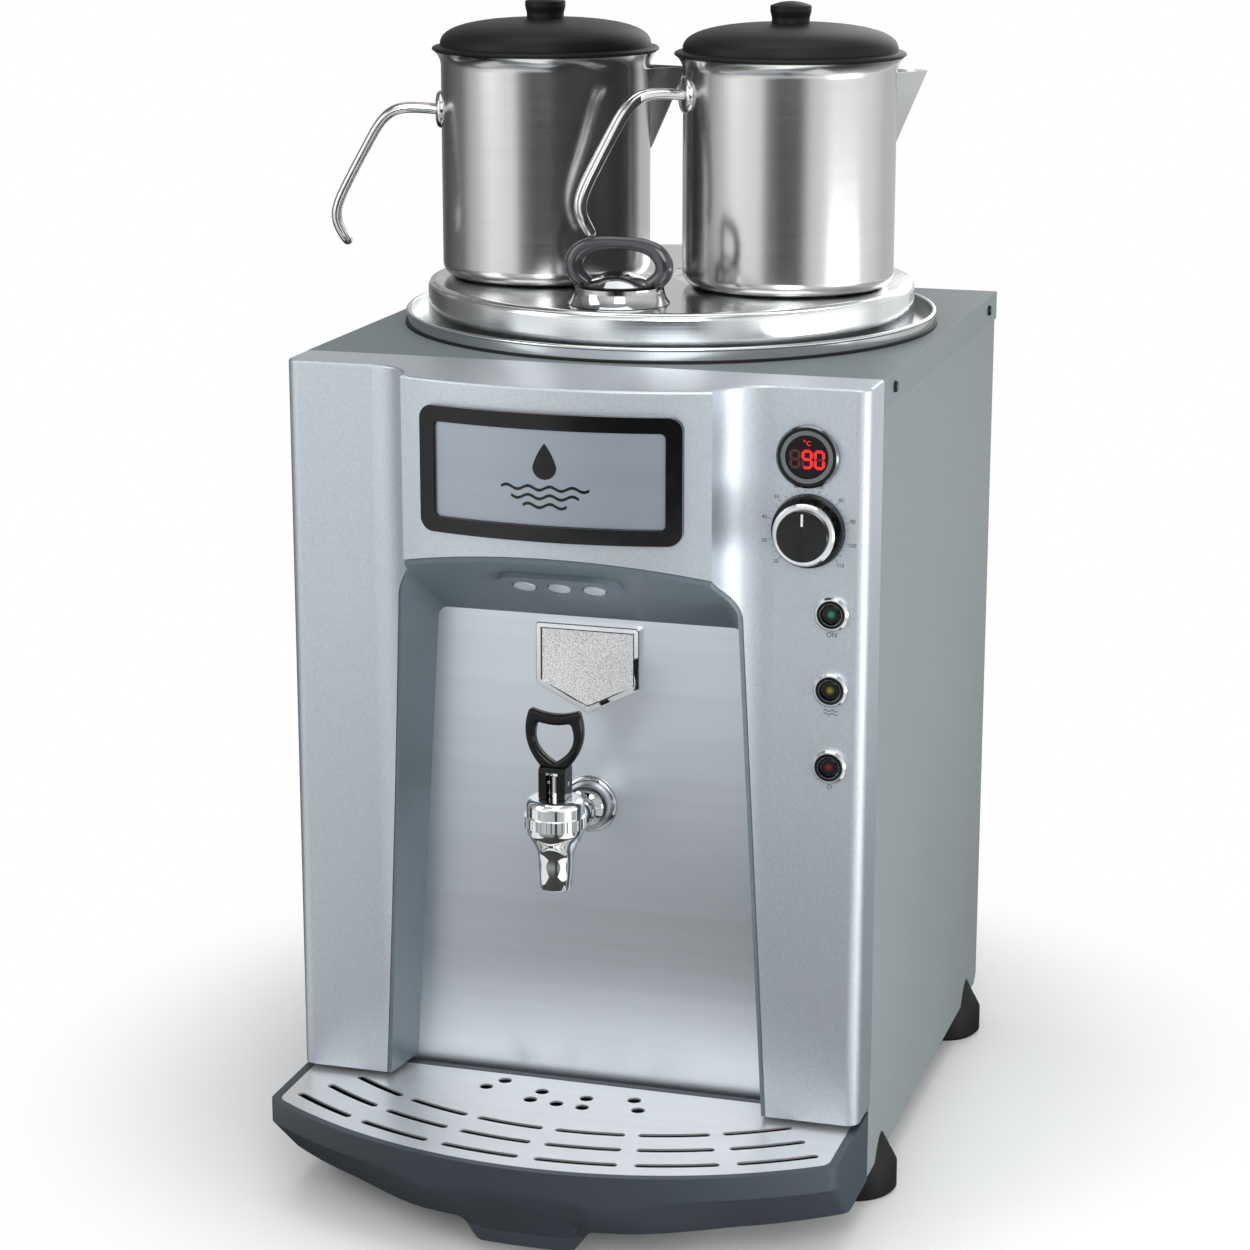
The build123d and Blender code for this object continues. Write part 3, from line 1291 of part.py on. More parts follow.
for pot_name, pot_x, pot_y, turn, boss_z in pot_places:
    way = (cos(radians(turn)), sin(radians(turn)), 0)
    foot_plane = Plane((pot_x, pot_y, lid_top), x_dir=way, z_dir=(0, 0, 1))
    side_plane = Plane((pot_x, pot_y, lid_top), x_dir=way, z_dir=(way[1], -way[0], 0))
    handle_plane = Plane((pot_x, pot_y, lid_top + boss_z), x_dir=way, z_dir=(way[1], -way[0], 0))
    boss_plane = Plane((pot_x, pot_y, lid_top + boss_z), x_dir=(0, 0, 1), z_dir=way)
    pot_axis = Axis((pot_x, pot_y, 0), (0, 0, 1))

    with BuildPart() as teapot_body:
        for z, reach, half, corner in (
            (spout_foot, pot_radius + 2, pot_spout_half / 5, pot_wall),
            (pot_spout_top, spout_tip, pot_spout_half, 3 * pot_wall),
        ):
            with BuildSketch(foot_plane.offset(z)):
                add(spout_section(reach, half, corner))
        loft(ruled=True)
        with BuildSketch(side_plane) as pot_profile:
            with BuildLine():
                Polyline((0, pot_height), (0, 0), (pot_radius, 0), (pot_radius, pot_height - pot_flare))
                TangentArc((pot_radius, pot_height - pot_flare), (pot_rim, pot_height), tangent=(0, 1))
                Line((pot_rim, pot_height), (0, pot_height))
            make_face()
            low = pot_profile.vertices().filter_by(lambda v: v.X > pot_radius / 2 and v.Y < pot_wall)
            fillet(low, pot_round)
        revolve(axis=pot_axis)
        with BuildSketch(side_plane) as pot_hollow:
            with BuildLine():
                bore = pot_radius - pot_wall
                Polyline((0, pot_height), (0, pot_wall), (bore, pot_wall), (bore, pot_height - pot_flare))
                TangentArc((bore, pot_height - pot_flare), (pot_rim - pot_wall, pot_height), tangent=(0, 1))
                Line((pot_rim - pot_wall, pot_height), (0, pot_height))
            make_face()
            low = pot_hollow.vertices().filter_by(lambda v: v.X > pot_radius / 2 and v.Y < 2 * pot_wall)
            fillet(low, pot_round - pot_wall)
        revolve(axis=pot_axis, mode=Mode.SUBTRACT)
        for z, reach, half, corner in (
            (spout_foot + 4 * pot_wall, pot_radius + 2, pot_spout_half / 5, pot_wall / 2),
            (pot_spout_top + spout_over, spout_tip - 2 * pot_wall, pot_spout_half - 2 * pot_wall, pot_wall),
        ):
            with BuildSketch(foot_plane.offset(z)):
                add(spout_section(reach, half, corner))
        loft(ruled=True, mode=Mode.SUBTRACT)
    save(teapot_body, f"{pot_name}_teapot_body")

    with BuildPart() as teapot_handle:
        with BuildSketch(boss_plane.offset(pot_radius - boss_proud)):
            Circle(boss_radius)
        extrude(amount=2 * boss_proud)
        outer = teapot_handle.edges().sort_by(lambda e: way[0] * e.center().X + way[1] * e.center().Y)[-1]
        fillet(outer, boss_round)
        with BuildSketch(foot_plane):
            Circle(pot_radius + seat_gap)
        extrude(amount=pot_height, mode=Mode.SUBTRACT)
        for shift in (-rod_half, rod_half):
            rod_plane = handle_plane.offset(shift)
            with BuildLine(rod_plane) as rod_line:
                FilletPolyline(*handle_points, radius=handle_bends)
            with BuildSketch(Plane(rod_line.line @ 0, z_dir=rod_line.line % 0)):
                Circle(rod_radius)
            sweep(path=rod_line.line)
            with Locations(rod_plane.from_local_coords(handle_points[-1])):
                Sphere(rod_radius)
        with BuildSketch(handle_plane.offset(-rod_half)):
            with Locations(handle_points[-1]):
                Circle(rod_radius)
        extrude(amount=2 * rod_half)
        with BuildSketch(foot_plane):
            Circle(pot_radius + seat_gap)
        extrude(amount=pot_height, mode=Mode.SUBTRACT)
    save(teapot_handle, f"{pot_name}_teapot_handle")

    lid_seat = pot_height + move_gap
    with BuildPart() as teapot_lid:
        with BuildSketch(side_plane):
            with BuildLine():
                edge_z = lid_seat + pot_lid_edge
                peak = lid_seat + pot_lid_rise
                rise = pot_lid_rise - pot_lid_edge - pot_lid_sweep
                inner = pot_lip_radius - pot_lid_wall
                half_way = pot_lid_shoulder / 2
                dome = ThreePointArc(
                    (0, peak),
                    (half_way, peak - rise + arc_height(half_way, rise, pot_lid_shoulder)),
                    (pot_lid_shoulder, peak - rise),
                )
                rim_in = pot_lid_radius - pot_lid_edge / 2
                TangentArc(dome @ 1, (rim_in, edge_z), tangent=dome % 1)
                rim_mid = (pot_lid_radius, edge_z - pot_lid_edge / 2)
                ThreePointArc((rim_in, edge_z), rim_mid, (rim_in, lid_seat))
                Polyline(
                    (rim_in, lid_seat),
                    (pot_lip_radius, lid_seat),
                    (pot_lip_radius, lid_seat - pot_lip_depth),
                    (inner, lid_seat - pot_lip_depth),
                    (inner, lid_seat),
                )
                ThreePointArc(
                    (inner, lid_seat),
                    (inner / 2, lid_seat + arc_height(inner / 2, pot_lid_rise - pot_lid_wall, inner)),
                    (0, peak - pot_lid_wall),
                )
                Line((0, peak - pot_lid_wall), (0, peak))
            make_face()
        revolve(axis=pot_axis)
    save(teapot_lid, f"{pot_name}_teapot_lid")

    with BuildPart() as teapot_lid_knob:
        with BuildSketch(side_plane):
            with BuildLine():
                top = peak + pot_knob_height
                crown = 0.2 * pot_knob_height
                half_knob = pot_knob_radius / 2
                Polyline(
                    (0, top),
                    (0, peak),
                    (pot_knob_neck, peak),
                    (pot_knob_neck, peak + 0.25 * pot_knob_height),
                    (pot_knob_radius, peak + 0.55 * pot_knob_height),
                    (pot_knob_radius, top - crown),
                )
                ThreePointArc(
                    (pot_knob_radius, top - crown),
                    (half_knob, top - crown + arc_height(half_knob, crown, pot_knob_radius)),
                    (0, top),
                )
            make_face()
        revolve(axis=pot_axis)
    save(teapot_lid_knob, f"{pot_name}_teapot_lid_knob")
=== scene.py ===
# %% [markdown]
# A tea boiler for a counter. The imported model gives every solid its place, in metres, with the front facing
# -Y. This lesson gives each of them a finish, and adds the small printed and moulded pieces that a solid
# model leaves out. We keep the size of the imported model from the start.

# %% Load the imported model
import bpy
import math
from contextlib import contextmanager
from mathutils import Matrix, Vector, noise


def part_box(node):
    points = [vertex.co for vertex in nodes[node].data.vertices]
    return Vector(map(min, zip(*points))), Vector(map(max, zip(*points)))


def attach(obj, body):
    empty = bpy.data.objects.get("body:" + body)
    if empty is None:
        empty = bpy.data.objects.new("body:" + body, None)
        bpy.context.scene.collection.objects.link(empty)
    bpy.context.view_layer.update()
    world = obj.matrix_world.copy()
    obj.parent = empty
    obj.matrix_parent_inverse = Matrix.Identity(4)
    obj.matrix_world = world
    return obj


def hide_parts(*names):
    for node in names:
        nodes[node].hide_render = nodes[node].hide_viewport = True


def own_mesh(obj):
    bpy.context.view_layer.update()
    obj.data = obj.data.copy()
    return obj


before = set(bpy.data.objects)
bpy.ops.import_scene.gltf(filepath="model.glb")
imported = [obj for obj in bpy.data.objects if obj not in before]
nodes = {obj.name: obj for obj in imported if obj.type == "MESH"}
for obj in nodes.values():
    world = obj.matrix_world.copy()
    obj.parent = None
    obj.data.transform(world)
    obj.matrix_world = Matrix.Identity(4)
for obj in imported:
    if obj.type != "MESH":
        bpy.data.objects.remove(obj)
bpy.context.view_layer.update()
mm = 0.001

# %% [markdown]
# The camera stands a little to the right of the machine and looks slightly down, as the photograph does. A
# long lens keeps the uprights nearly parallel. We set it first, so every later look through it can be
# compared with the photograph.

# %% Camera
def clear():
    """Deselects everything, because an operator acts on all that is selected."""
    bpy.ops.object.select_all(action="DESELECT")


camera_place = (0.5527, -1.9345, 0.8294)
camera_tilt, camera_heading = math.radians(75.53), math.radians(16.77)
clear()
bpy.ops.object.camera_add(location=camera_place, rotation=(camera_tilt, 0, camera_heading))
camera = bpy.context.object
camera.name = "camera"
camera.data.lens = 92.88
camera.data.sensor_width = 36
bpy.context.scene.camera = camera
print("camera", camera.location)

# %% [markdown]
# The studio and the finishes are made of shader nodes. Wires could be drawn after all the nodes are there,
# but then a tree is hard to read. Here a node is added with its settings, and each of its inputs is fed a
# plain value or another node's output, so a tree reads from its start to its end. A few helpers cover what
# comes up most.

# %% Node helpers
def add_node(tree, kind, feeds=None, **settings):
    """A shader node whose inputs are fed with plain values or with other nodes' outputs."""
    node = tree.nodes.new("ShaderNode" + kind)
    for key, value in settings.items():
        setattr(node, key, value)
    for label, value in (feeds or {}).items():
        if isinstance(value, bpy.types.NodeSocket):
            tree.links.new(value, node.inputs[label])
        else:
            node.inputs[label].default_value = value
    return node


def reckon(tree, operation, *given):
    """The result of a Math node."""
    return add_node(tree, "Math", dict(enumerate(given)), operation=operation).outputs[0]


def vector_reckon(tree, operation, *given):
    """The result of a Vector Math node: a number for a length, and otherwise a vector."""
    worked = add_node(tree, "VectorMath", dict(enumerate(given)), operation=operation)
    return worked.outputs["Value" if operation == "LENGTH" else "Vector"]


def smooth_range(tree, value, start, end):
    """A smooth step from 0 to 1 while a value goes from start to end."""
    feeds = {"Value": value, "From Min": start, "From Max": end}
    return add_node(tree, "MapRange", feeds, interpolation_type="SMOOTHSTEP").outputs["Result"]


def ramp(tree, share, stops, interpolation="EASE"):
    """A Color Ramp of greys, from (place, grey) stops."""
    node = add_node(tree, "ValToRGB", {"Fac": share})
    node.color_ramp.interpolation = interpolation
    elements = node.color_ramp.elements
    while len(elements) < len(stops):
        elements.new(0.5)
    for element, (place, grey) in zip(elements, stops):
        element.position = place
        element.color = (grey, grey, grey, 1)
    return node.outputs["Color"]


def mixed(tree, share, first, second):
    """The first shader or the second, by a share from 0 to 1."""
    return add_node(tree, "MixShader", {0: share, 1: first, 2: second}).outputs[0]


def emptied(block):
    """The node tree of a new material or world, with nothing in it yet."""
    block.use_nodes = True
    block.node_tree.nodes.clear()
    return block.node_tree


print("node helpers ready")

# %% [markdown]
# The studio is a white room: a pale floor that turns to plain white away from the machine, so that the
# contact shadow stays and no horizon shows. Steel needs something to mirror, and a white floor would leave
# it flat. So mirrors see a card there instead, which is dim near the machine and brighter further out. It
# shades the front from its top to its foot. Light Path tells the camera's rays from a mirror's.

# %% Floor
def compass(tree, way):
    """A direction as a share of a turn, and its rise. 0 and 1 are -X, 0.25 is -Y, 0.5 is +X, 0.75 is +Y."""
    parts = add_node(tree, "SeparateXYZ", {0: way}).outputs
    turn = reckon(tree, "ARCTAN2", parts["Y"], parts["X"])
    share = add_node(tree, "MapRange", {"Value": turn, "From Min": -math.pi, "From Max": math.pi})
    return share.outputs["Result"], parts["Z"]


# metres from the middle of the machine
floor_reach = 30
white_from, white_by = 0.24, 0.46
card_until, card_end = 2.05, 2.20
# stops of (share, glow), by the share of the card's reach and by the compass
CARD_OUTWARDS = (
    (0.10, 0.05), (0.26, 0.06), (0.36, 0.22), (0.46, 0.45), (0.55, 0.48), (0.80, 0.93), (0.93, 1.45),
)
CARD_ROUND = (
    (0.00, 0.10), (0.06, 0.28), (0.13, 0.95), (0.17, 1.25), (0.21, 1.08), (0.29, 0.95),
    (0.36, 1.30), (0.46, 1.60), (0.58, 0.90), (0.75, 0.50), (0.92, 0.10), (1.00, 0.10),
)
bpy.context.scene.view_settings.view_transform = "Standard"
clear()
bpy.ops.mesh.primitive_circle_add(vertices=96, radius=floor_reach, fill_type="NGON", location=(0, 0, 0))
floor = bpy.context.object
floor.name = "studio_floor"
floor_paint = bpy.data.materials.new("studio_floor_white")
tree = emptied(floor_paint)
place = add_node(tree, "TexCoord").outputs["Object"]
reach = vector_reckon(tree, "LENGTH", place)
ray = add_node(tree, "LightPath").outputs
lit = add_node(tree, "BsdfDiffuse", {"Color": (0.92, 0.92, 0.92, 1)}).outputs[0]
white = add_node(tree, "Emission").outputs[0]
far_seen = reckon(tree, "MULTIPLY", smooth_range(tree, reach, white_from, white_by), ray["Is Camera Ray"])
by_camera = mixed(tree, far_seen, lit, white)
outwards = ramp(tree, reckon(tree, "DIVIDE", reach, card_end), CARD_OUTWARDS, "LINEAR")
roundabout = ramp(tree, compass(tree, place)[0], CARD_ROUND)
card_glow = reckon(tree, "MULTIPLY", outwards, roundabout)
card = add_node(tree, "Emission", {"Color": (0.95, 0.98, 1.0, 1), "Strength": card_glow}).outputs[0]
open_room = add_node(tree, "BsdfTransparent").outputs[0]
in_mirror = mixed(tree, smooth_range(tree, reach, card_until, card_end), card, open_room)
add_node(tree, "OutputMaterial", {"Surface": mixed(tree, ray["Is Glossy Ray"], by_camera, in_mirror)})
floor.data.materials.append(floor_paint)
print("floor turns white between", white_from, "and", white_by, "m")

# %% [markdown]
# In front of the tap lies a narrow black card between two white ones. They draw the dark line that chrome
# has in a studio. Another black card between the teapots keeps the inner side of the left one dark. Only
# mirrors see these cards, and only from their front, so they neither light nor shade the machine.

# %% Mirror cards
def freeze():
    """Puts the active object's place, turn and size into its mesh."""
    bpy.ops.object.transform_apply(location=True, rotation=True, scale=True)


def mirror_card(name, location, size, turn, glow):
    """A card that only mirrors see, and only from its front: black at a low glow, white at a high one."""
    clear()
    bpy.ops.mesh.primitive_plane_add(size=1, location=location, rotation=turn)
    sheet = bpy.context.object
    sheet.name = name
    sheet.scale = (*size, 1)
    freeze()
    sheet.visible_camera = False
    sheet.visible_diffuse = False
    sheet.visible_shadow = False
    paper = bpy.data.materials.new(name + "_paper")
    tree = emptied(paper)
    behind = add_node(tree, "NewGeometry").outputs["Backfacing"]
    card_side = add_node(tree, "Emission", {"Strength": glow}).outputs[0]
    open_side = add_node(tree, "BsdfTransparent").outputs[0]
    add_node(tree, "OutputMaterial", {"Surface": mixed(tree, behind, card_side, open_side)})
    sheet.data.materials.append(paper)


tap_front, tap_cards_out = -0.24, 0.78
# heading in degrees, width, glow and height over the floor
TAP_CARDS = {
    "black": (-70, 0.13, 0.05, 0.004),
    "left_white": (-160, 0.45, 0.8, 0.003),
    "right_white": (-22, 0.42, 1.1, 0.003),
}
for name, (heading, width, glow, up) in TAP_CARDS.items():
    turn = math.radians(heading)
    lies_at = (tap_cards_out * math.cos(turn), tap_cards_out * math.sin(turn) + tap_front, up)
    mirror_card("tap_card_" + name, lies_at, (width, 1.0), (0, 0, turn + math.radians(90)), glow)
mirror_card(
    "pot_card", location=(0, -0.118, 0.78), size=(0.48, 0.17), turn=(0, math.radians(-90), 0), glow=0.05
)
print("mirror cards", len(TAP_CARDS) + 1)

# %% [markdown]
# The room lights painted faces evenly. Mirrors see soft dark and bright bands instead, by compass
# direction, as a studio has between its soft boxes, and a sky that is brightest over the front. Six soft
# boxes then give the faces their shading. The camera sees none of them, and the one close to the right side
# shows in no mirror either.

# %% Room light and soft boxes
# stops of (share, glow), by the compass, and for SKY_RISE and SKY_FROM by the rise
BANDS = (
    (0.00, 0.22), (0.06, 0.70), (0.13, 1.20), (0.195, 1.10), (0.232, 0.20), (0.27, 0.03), (0.315, 0.05),
    (0.36, 0.90), (0.43, 1.18), (0.54, 1.10), (0.65, 0.72), (0.75, 0.66), (0.90, 0.10), (1.00, 0.22),
)
SKY_ROUND = (
    (0.00, 0.40), (0.08, 0.50), (0.16, 0.85), (0.24, 1.25),
    (0.50, 1.05), (0.75, 0.80), (0.90, 0.25), (1.00, 0.25),
)
SKY_RISE = ((0.10, 0.90), (0.35, 0.95), (0.80, 0.45))
SKY_FROM = ((0.0, 0.0), (0.04, 0.0), (0.18, 1.0))
room = bpy.data.worlds.new("studio_room")
bpy.context.scene.world = room
tree = emptied(room)
room_way, room_rise = compass(tree, add_node(tree, "TexCoord").outputs["Generated"])
sky = {"Factor": 1.0, "A": ramp(tree, room_rise, SKY_RISE), "B": ramp(tree, room_way, SKY_ROUND)}
sky_glow = add_node(tree, "Mix", sky, data_type="RGBA", blend_type="MULTIPLY").outputs["Result"]
view = {"Factor": ramp(tree, room_rise, SKY_FROM), "A": ramp(tree, room_way, BANDS), "B": sky_glow}
mirrored_view = add_node(tree, "Mix", view, data_type="RGBA").outputs["Result"]
banded = add_node(tree, "Background", {"Color": mirrored_view}).outputs[0]
even = add_node(tree, "Background", {"Color": (0.97, 0.985, 1.0, 1), "Strength": 0.42}).outputs[0]
plain_white = add_node(tree, "Background", {"Color": (1, 1, 1, 1)}).outputs[0]
ray = add_node(tree, "LightPath").outputs
mirrors = reckon(tree, "MAXIMUM", ray["Is Glossy Ray"], ray["Is Transmission Ray"])
lighting = mixed(tree, mirrors, even, banded)
add_node(tree, "OutputWorld", {"Surface": mixed(tree, ray["Is Camera Ray"], lighting, plain_white)})


def soft_box(name, location, target, size, watts, mirrored=True):
    """An area lamp that faces its target and that the camera doesn't see."""
    clear()
    bpy.ops.object.light_add(type="AREA", location=location)
    lamp = bpy.context.object
    lamp.name = name
    lamp.rotation_euler = (Vector(target) - Vector(location)).to_track_quat("-Z", "Y").to_euler()
    lamp.data.shape = "RECTANGLE"
    lamp.data.size, lamp.data.size_y = size
    lamp.data.energy = watts
    lamp.visible_camera = False
    lamp.visible_glossy = mirrored
    print(name, watts, "W")


soft_box("left_soft_box", (-1.5, -1.3, 1.3), (0, 0, 0.35), (0.9, 1.5), 8)
soft_box("front_soft_box", (0.6, -1.9, 1.4), (0, 0, 0.35), (0.9, 1.2), 12)
soft_box("right_soft_box", (0.85, -0.25, 0.12), (0.18, 0, 0.10), (0.7, 0.2), 4.5, False)
soft_box("right_strip", (1.4, -0.35, 0.18), (0.18, 0, 0.10), (0.9, 0.35), 4)
soft_box("top_soft_box", (0.0, -0.2, 2.0), (0, 0, 0.4), (1.4, 1.4), 10)
soft_box("back_soft_box", (0.3, 1.8, 1.2), (0, 0, 0.3), (1.2, 1.2), 8)

# %% [markdown]
# Finishes share a few effects, so each effect is a node group that is built once: the grain of moulded
# plastic, the lines of brushed steel, the rings of a spun lid, the flakes of silver paint, the faint
# smudges that keep chrome from looking drawn, and the core of a lamp, which carries a painted glow. A group
# only puts out masks that change over the surface. The shader itself, and any number that is the same all
# over, stays in the material.

# %% Effect helpers
def effect(name, **inputs):
    """A new node group that reads a place and these values, with the outputs of its first node."""
    group = bpy.data.node_groups.new(name, "ShaderNodeTree")
    for label, value in {"Place": (0, 0, 0), **inputs}.items():
        kind = "NodeSocketVector" if isinstance(value, tuple) else "NodeSocketFloat"
        socket = group.interface.new_socket(label, in_out="INPUT", socket_type=kind)
        socket.default_value = value
    return group, group.nodes.new("NodeGroupInput").outputs


def put_out(group, **results):
    """Puts these values out of a node group."""
    for label in results:
        group.interface.new_socket(label, in_out="OUTPUT", socket_type="NodeSocketFloat")
    end = group.nodes.new("NodeGroupOutput")
    for label, value in results.items():
        group.links.new(value, end.inputs[label])
    print("effect", group.name, "puts out", list(results))


# %% Moulded grain and brushed lines
# Grain: a fine even texture, and a slow cloud for small changes of shade
grain, given = effect("moulded_grain", Grain=900.0)
fine = add_node(grain, "TexNoise", {"Vector": given["Place"], "Scale": given["Grain"], "Detail": 3.0})
slow = add_node(grain, "TexNoise", {"Vector": given["Place"], "Scale": 9.0, "Detail": 4.0})
put_out(grain, Height=fine.outputs["Fac"], Cloud=slow.outputs["Fac"])

# Lines: noise that is stretched along the way the sheet was brushed, with broader streaks among them
brushed, given = effect("brushed_lines", Lines=(12, 900, 900))
stretched = vector_reckon(brushed, "MULTIPLY", given["Place"], given["Lines"])
widened = add_node(brushed, "VectorMath", {0: stretched, "Scale": 0.09}, operation="SCALE").outputs[0]
lines = add_node(brushed, "TexNoise", {"Vector": stretched, "Scale": 1.0, "Detail": 5.0, "Roughness": 0.65})
streak = add_node(brushed, "TexNoise", {"Vector": widened, "Scale": 1.0, "Detail": 3.0})
put_out(brushed, Height=lines.outputs["Fac"], Streak=streak.outputs["Fac"])

# %% Spun rings
# Lines that run round an upright axis, on flat faces by radius and on walls by height. Light on such
# rings spreads into fans, so a third output changes with the heading from the axis alone. It is a mask
# for a highlight in fans that is painted into the colour
spun, given = effect("spun_rings", Axis=(0, 0, 0), Rings=700.0)
from_axis = vector_reckon(spun, "SUBTRACT", given["Place"], given["Axis"])
flat = vector_reckon(spun, "MULTIPLY", from_axis, (1, 1, 0))
rise = add_node(spun, "SeparateXYZ", {0: from_axis}).outputs["Z"]
climb = reckon(spun, "ADD", vector_reckon(spun, "LENGTH", flat), rise)
count = reckon(spun, "MULTIPLY", climb, given["Rings"])
rings = add_node(spun, "TexNoise", {"W": count, "Scale": 1.0, "Detail": 5.0}, noise_dimensions="1D")
broad = reckon(spun, "MULTIPLY", count, 0.12)
ring = add_node(spun, "TexNoise", {"W": broad, "Scale": 1.0}, noise_dimensions="1D")
heading = vector_reckon(spun, "NORMALIZE", flat)
fan = add_node(spun, "TexNoise", {"Vector": heading, "Scale": 1.7, "Detail": 3.0})
fan_highlight = smooth_range(spun, fan.outputs["Fac"], 0.38, 0.62)
put_out(spun, Height=rings.outputs["Fac"], Ring=ring.outputs["Fac"], Fan=fan_highlight)

# %% Flakes, smudges and lamp core
# Flakes: small cells of silver in a clear binder
flakes, given = effect("silver_flakes", Flakes=1800.0)
cells = add_node(flakes, "TexVoronoi", {"Vector": given["Place"], "Scale": given["Flakes"]})
glint = add_node(flakes, "SeparateColor", {0: cells.outputs["Color"]})
slow = add_node(flakes, "TexNoise", {"Vector": given["Place"], "Scale": 7.0})
put_out(flakes, Flake=glint.outputs["Red"], Cloud=slow.outputs["Fac"])

# Smudges: broken patches where hands and cloths have been
smudges, given = effect("smudges", Size=60.0)
broken = {"Vector": given["Place"], "Scale": given["Size"], "Detail": 6.0, "Distortion": 0.6}
patch = add_node(smudges, "TexNoise", broken)
put_out(smudges, Smudge=smooth_range(smudges, patch.outputs["Fac"], 0.42, 0.68))

# Core: the small heart of a lamp, seen through its dark lens, for its colour and a painted glow
core, given = effect("lamp_core", Centre=(0, 0, 0), Reach=0.004)
off_centre = vector_reckon(core, "SUBTRACT", given["Place"], given["Centre"])
off = vector_reckon(core, "LENGTH", vector_reckon(core, "MULTIPLY", off_centre, (1, 0, 1)))
put_out(core, Core=smooth_range(core, reckon(core, "DIVIDE", off, given["Reach"]), 1.0, 0.0))

# %% [markdown]
# Each finish is a Principled shader with one of those effects under it. The helper below wires the same
# three things every time: a base colour between two near shades, a roughness between two values, and a bump
# whose depth is given in metres. Colours are linear numbers, so they look darker written than shown.

# %% Finish helpers
def finish(name, group, values, shade_by, dark, light, rough_by=None, rough=(0.4, 0.4), bump_by=None,
           depth=0.0, metallic=0.0, **sockets):
    """A material whose colour, roughness and bump follow the outputs of one effect."""
    material = bpy.data.materials.new(name)
    material.use_nodes = True
    tree = material.node_tree
    shader = tree.nodes["Principled BSDF"].inputs
    shader["Metallic"].default_value = metallic
    for label, value in sockets.items():
        shader[label.replace("_", " ")].default_value = value
    place = add_node(tree, "TexCoord").outputs["Object"]
    worked = add_node(tree, "Group", node_tree=group)
    tree.links.new(place, worked.inputs["Place"])
    for label, value in values.items():
        worked.inputs[label].default_value = value
    shades = {"Factor": worked.outputs[shade_by], "A": (*dark, 1), "B": (*light, 1)}
    tree.links.new(add_node(tree, "Mix", shades, data_type="RGBA").outputs["Result"], shader["Base Color"])
    if rough_by:
        spread = {"Value": worked.outputs[rough_by], "To Min": rough[0], "To Max": rough[1]}
        tree.links.new(add_node(tree, "MapRange", spread).outputs["Result"], shader["Roughness"])
    else:
        shader["Roughness"].default_value = rough[0]
    if bump_by:
        relief = {"Height": worked.outputs[bump_by], "Strength": 1.0, "Distance": depth}
        tree.links.new(add_node(tree, "Bump", relief).outputs[0], shader["Normal"])
    return material


def around(colour, spread):
    """A darker and a lighter shade on both sides of a colour."""
    return [c * (1 - spread) for c in colour], [c * (1 + spread) for c in colour]


def moulded(name, colour, grain_size=900.0, depth=0.00002, rough=(0.38, 0.5), spread=0.08, **sockets):
    """Plastic, rubber or powder coat."""
    shades = around(colour, spread)
    return finish(
        name, grain, {"Grain": grain_size}, "Cloud", *shades, "Cloud", rough, "Height", depth, **sockets
    )


def brushed_steel(name, colour, lines, rough=(0.22, 0.38), depth=0.000012, spread=0.07, metallic=1.0):
    """Sheet with this many brush lines to the metre along X, Y and Z."""
    shades = around(colour, spread)
    return finish(
        name, brushed, {"Lines": lines}, "Streak", *shades, "Height", rough, "Height", depth,
        metallic=metallic,
    )


def spun_steel(name, colour, axis, rough=(0.10, 0.22), depth=0.000006, shade_by="Ring", spread=0.05):
    """Sheet that was spun about an upright axis."""
    shades = around(colour, spread)
    return finish(
        name, spun, {"Axis": axis}, shade_by, *shades, "Height", rough, "Height", depth, metallic=1.0
    )


def smudged(name, colour, rough, metallic=1.0, size=60.0, **sockets):
    """Anything polished. The smudges are a little darker than the rest."""
    dark, light = around(colour, 0.03)
    return finish(
        name, smudges, {"Size": size}, "Smudge", light, dark, "Smudge", rough, metallic=metallic, **sockets
    )


coated = set()


def coat(material, *names):
    """Gives these CAD nodes a finish."""
    for name in names:
        slots = nodes[name].data.materials
        slots.clear()
        slots.append(material)
    coated.update(names)


print("finish helpers ready")

# %% [markdown]
# The casing: powder-coated sheet on the sides, back and top, silver-lacquered plastic for the bow front,
# and dark slate plastic for the recess and the tray. Powder coat has a soft orange-peel surface. The silver
# lacquer holds flakes, so it is mostly metallic and shows a broad highlight along the coves. The blacks
# mirror little, so their specular level is low.

# %% Casing finishes
dull = {"Specular_IOR_Level": 0.25}
powder_grey = moulded("powder_grey", (0.172, 0.195, 0.202), 420.0, 0.00003, (0.46, 0.54), 0.05)
coat(powder_grey, "left_side_panel", "right_side_panel", "rear_panel", "base_plate")
powder_dark = moulded("powder_dark", (0.160, 0.190, 0.198), 420.0, 0.00003, (0.52, 0.60), 0.06)
coat(powder_dark, "top_cover")
silver_lacquer = finish(
    "silver_lacquer", flakes, {"Flakes": 1500.0}, "Flake", *around((0.575, 0.622, 0.672), 0.07), "Cloud",
    (0.43, 0.49), metallic=0.9, Coat_Weight=0.25, Coat_Roughness=0.2,
)
coat(silver_lacquer, "front_panel")
slate = moulded("slate_moulding", (0.108, 0.140, 0.162), 1100.0, 0.00001, (0.34, 0.42))
coat(slate, "recess_liner", "light_housing")
tray_slate = moulded("tray_moulding", (0.040, 0.050, 0.061), 1100.0, 0.00001, (0.36, 0.45))
coat(tray_slate, "tray_pan")
foot_black = moulded("foot_black", (0.006, 0.0065, 0.007), 800.0, 0.00003, (0.5, 0.62), **dull)
coat(foot_black, "cord_gland", "gland_nut")
lid_black = moulded("lid_black", (0.007, 0.0069, 0.007), 1300.0, 0.000012, (0.44, 0.52), **dull)
coat(lid_black, "left_teapot_lid_knob", "right_teapot_lid_knob")
gloss_black = smudged(
    "gloss_black", (0.004, 0.0043, 0.0046), (0.10, 0.18), metallic=0.0, Specular_IOR_Level=0.3
)
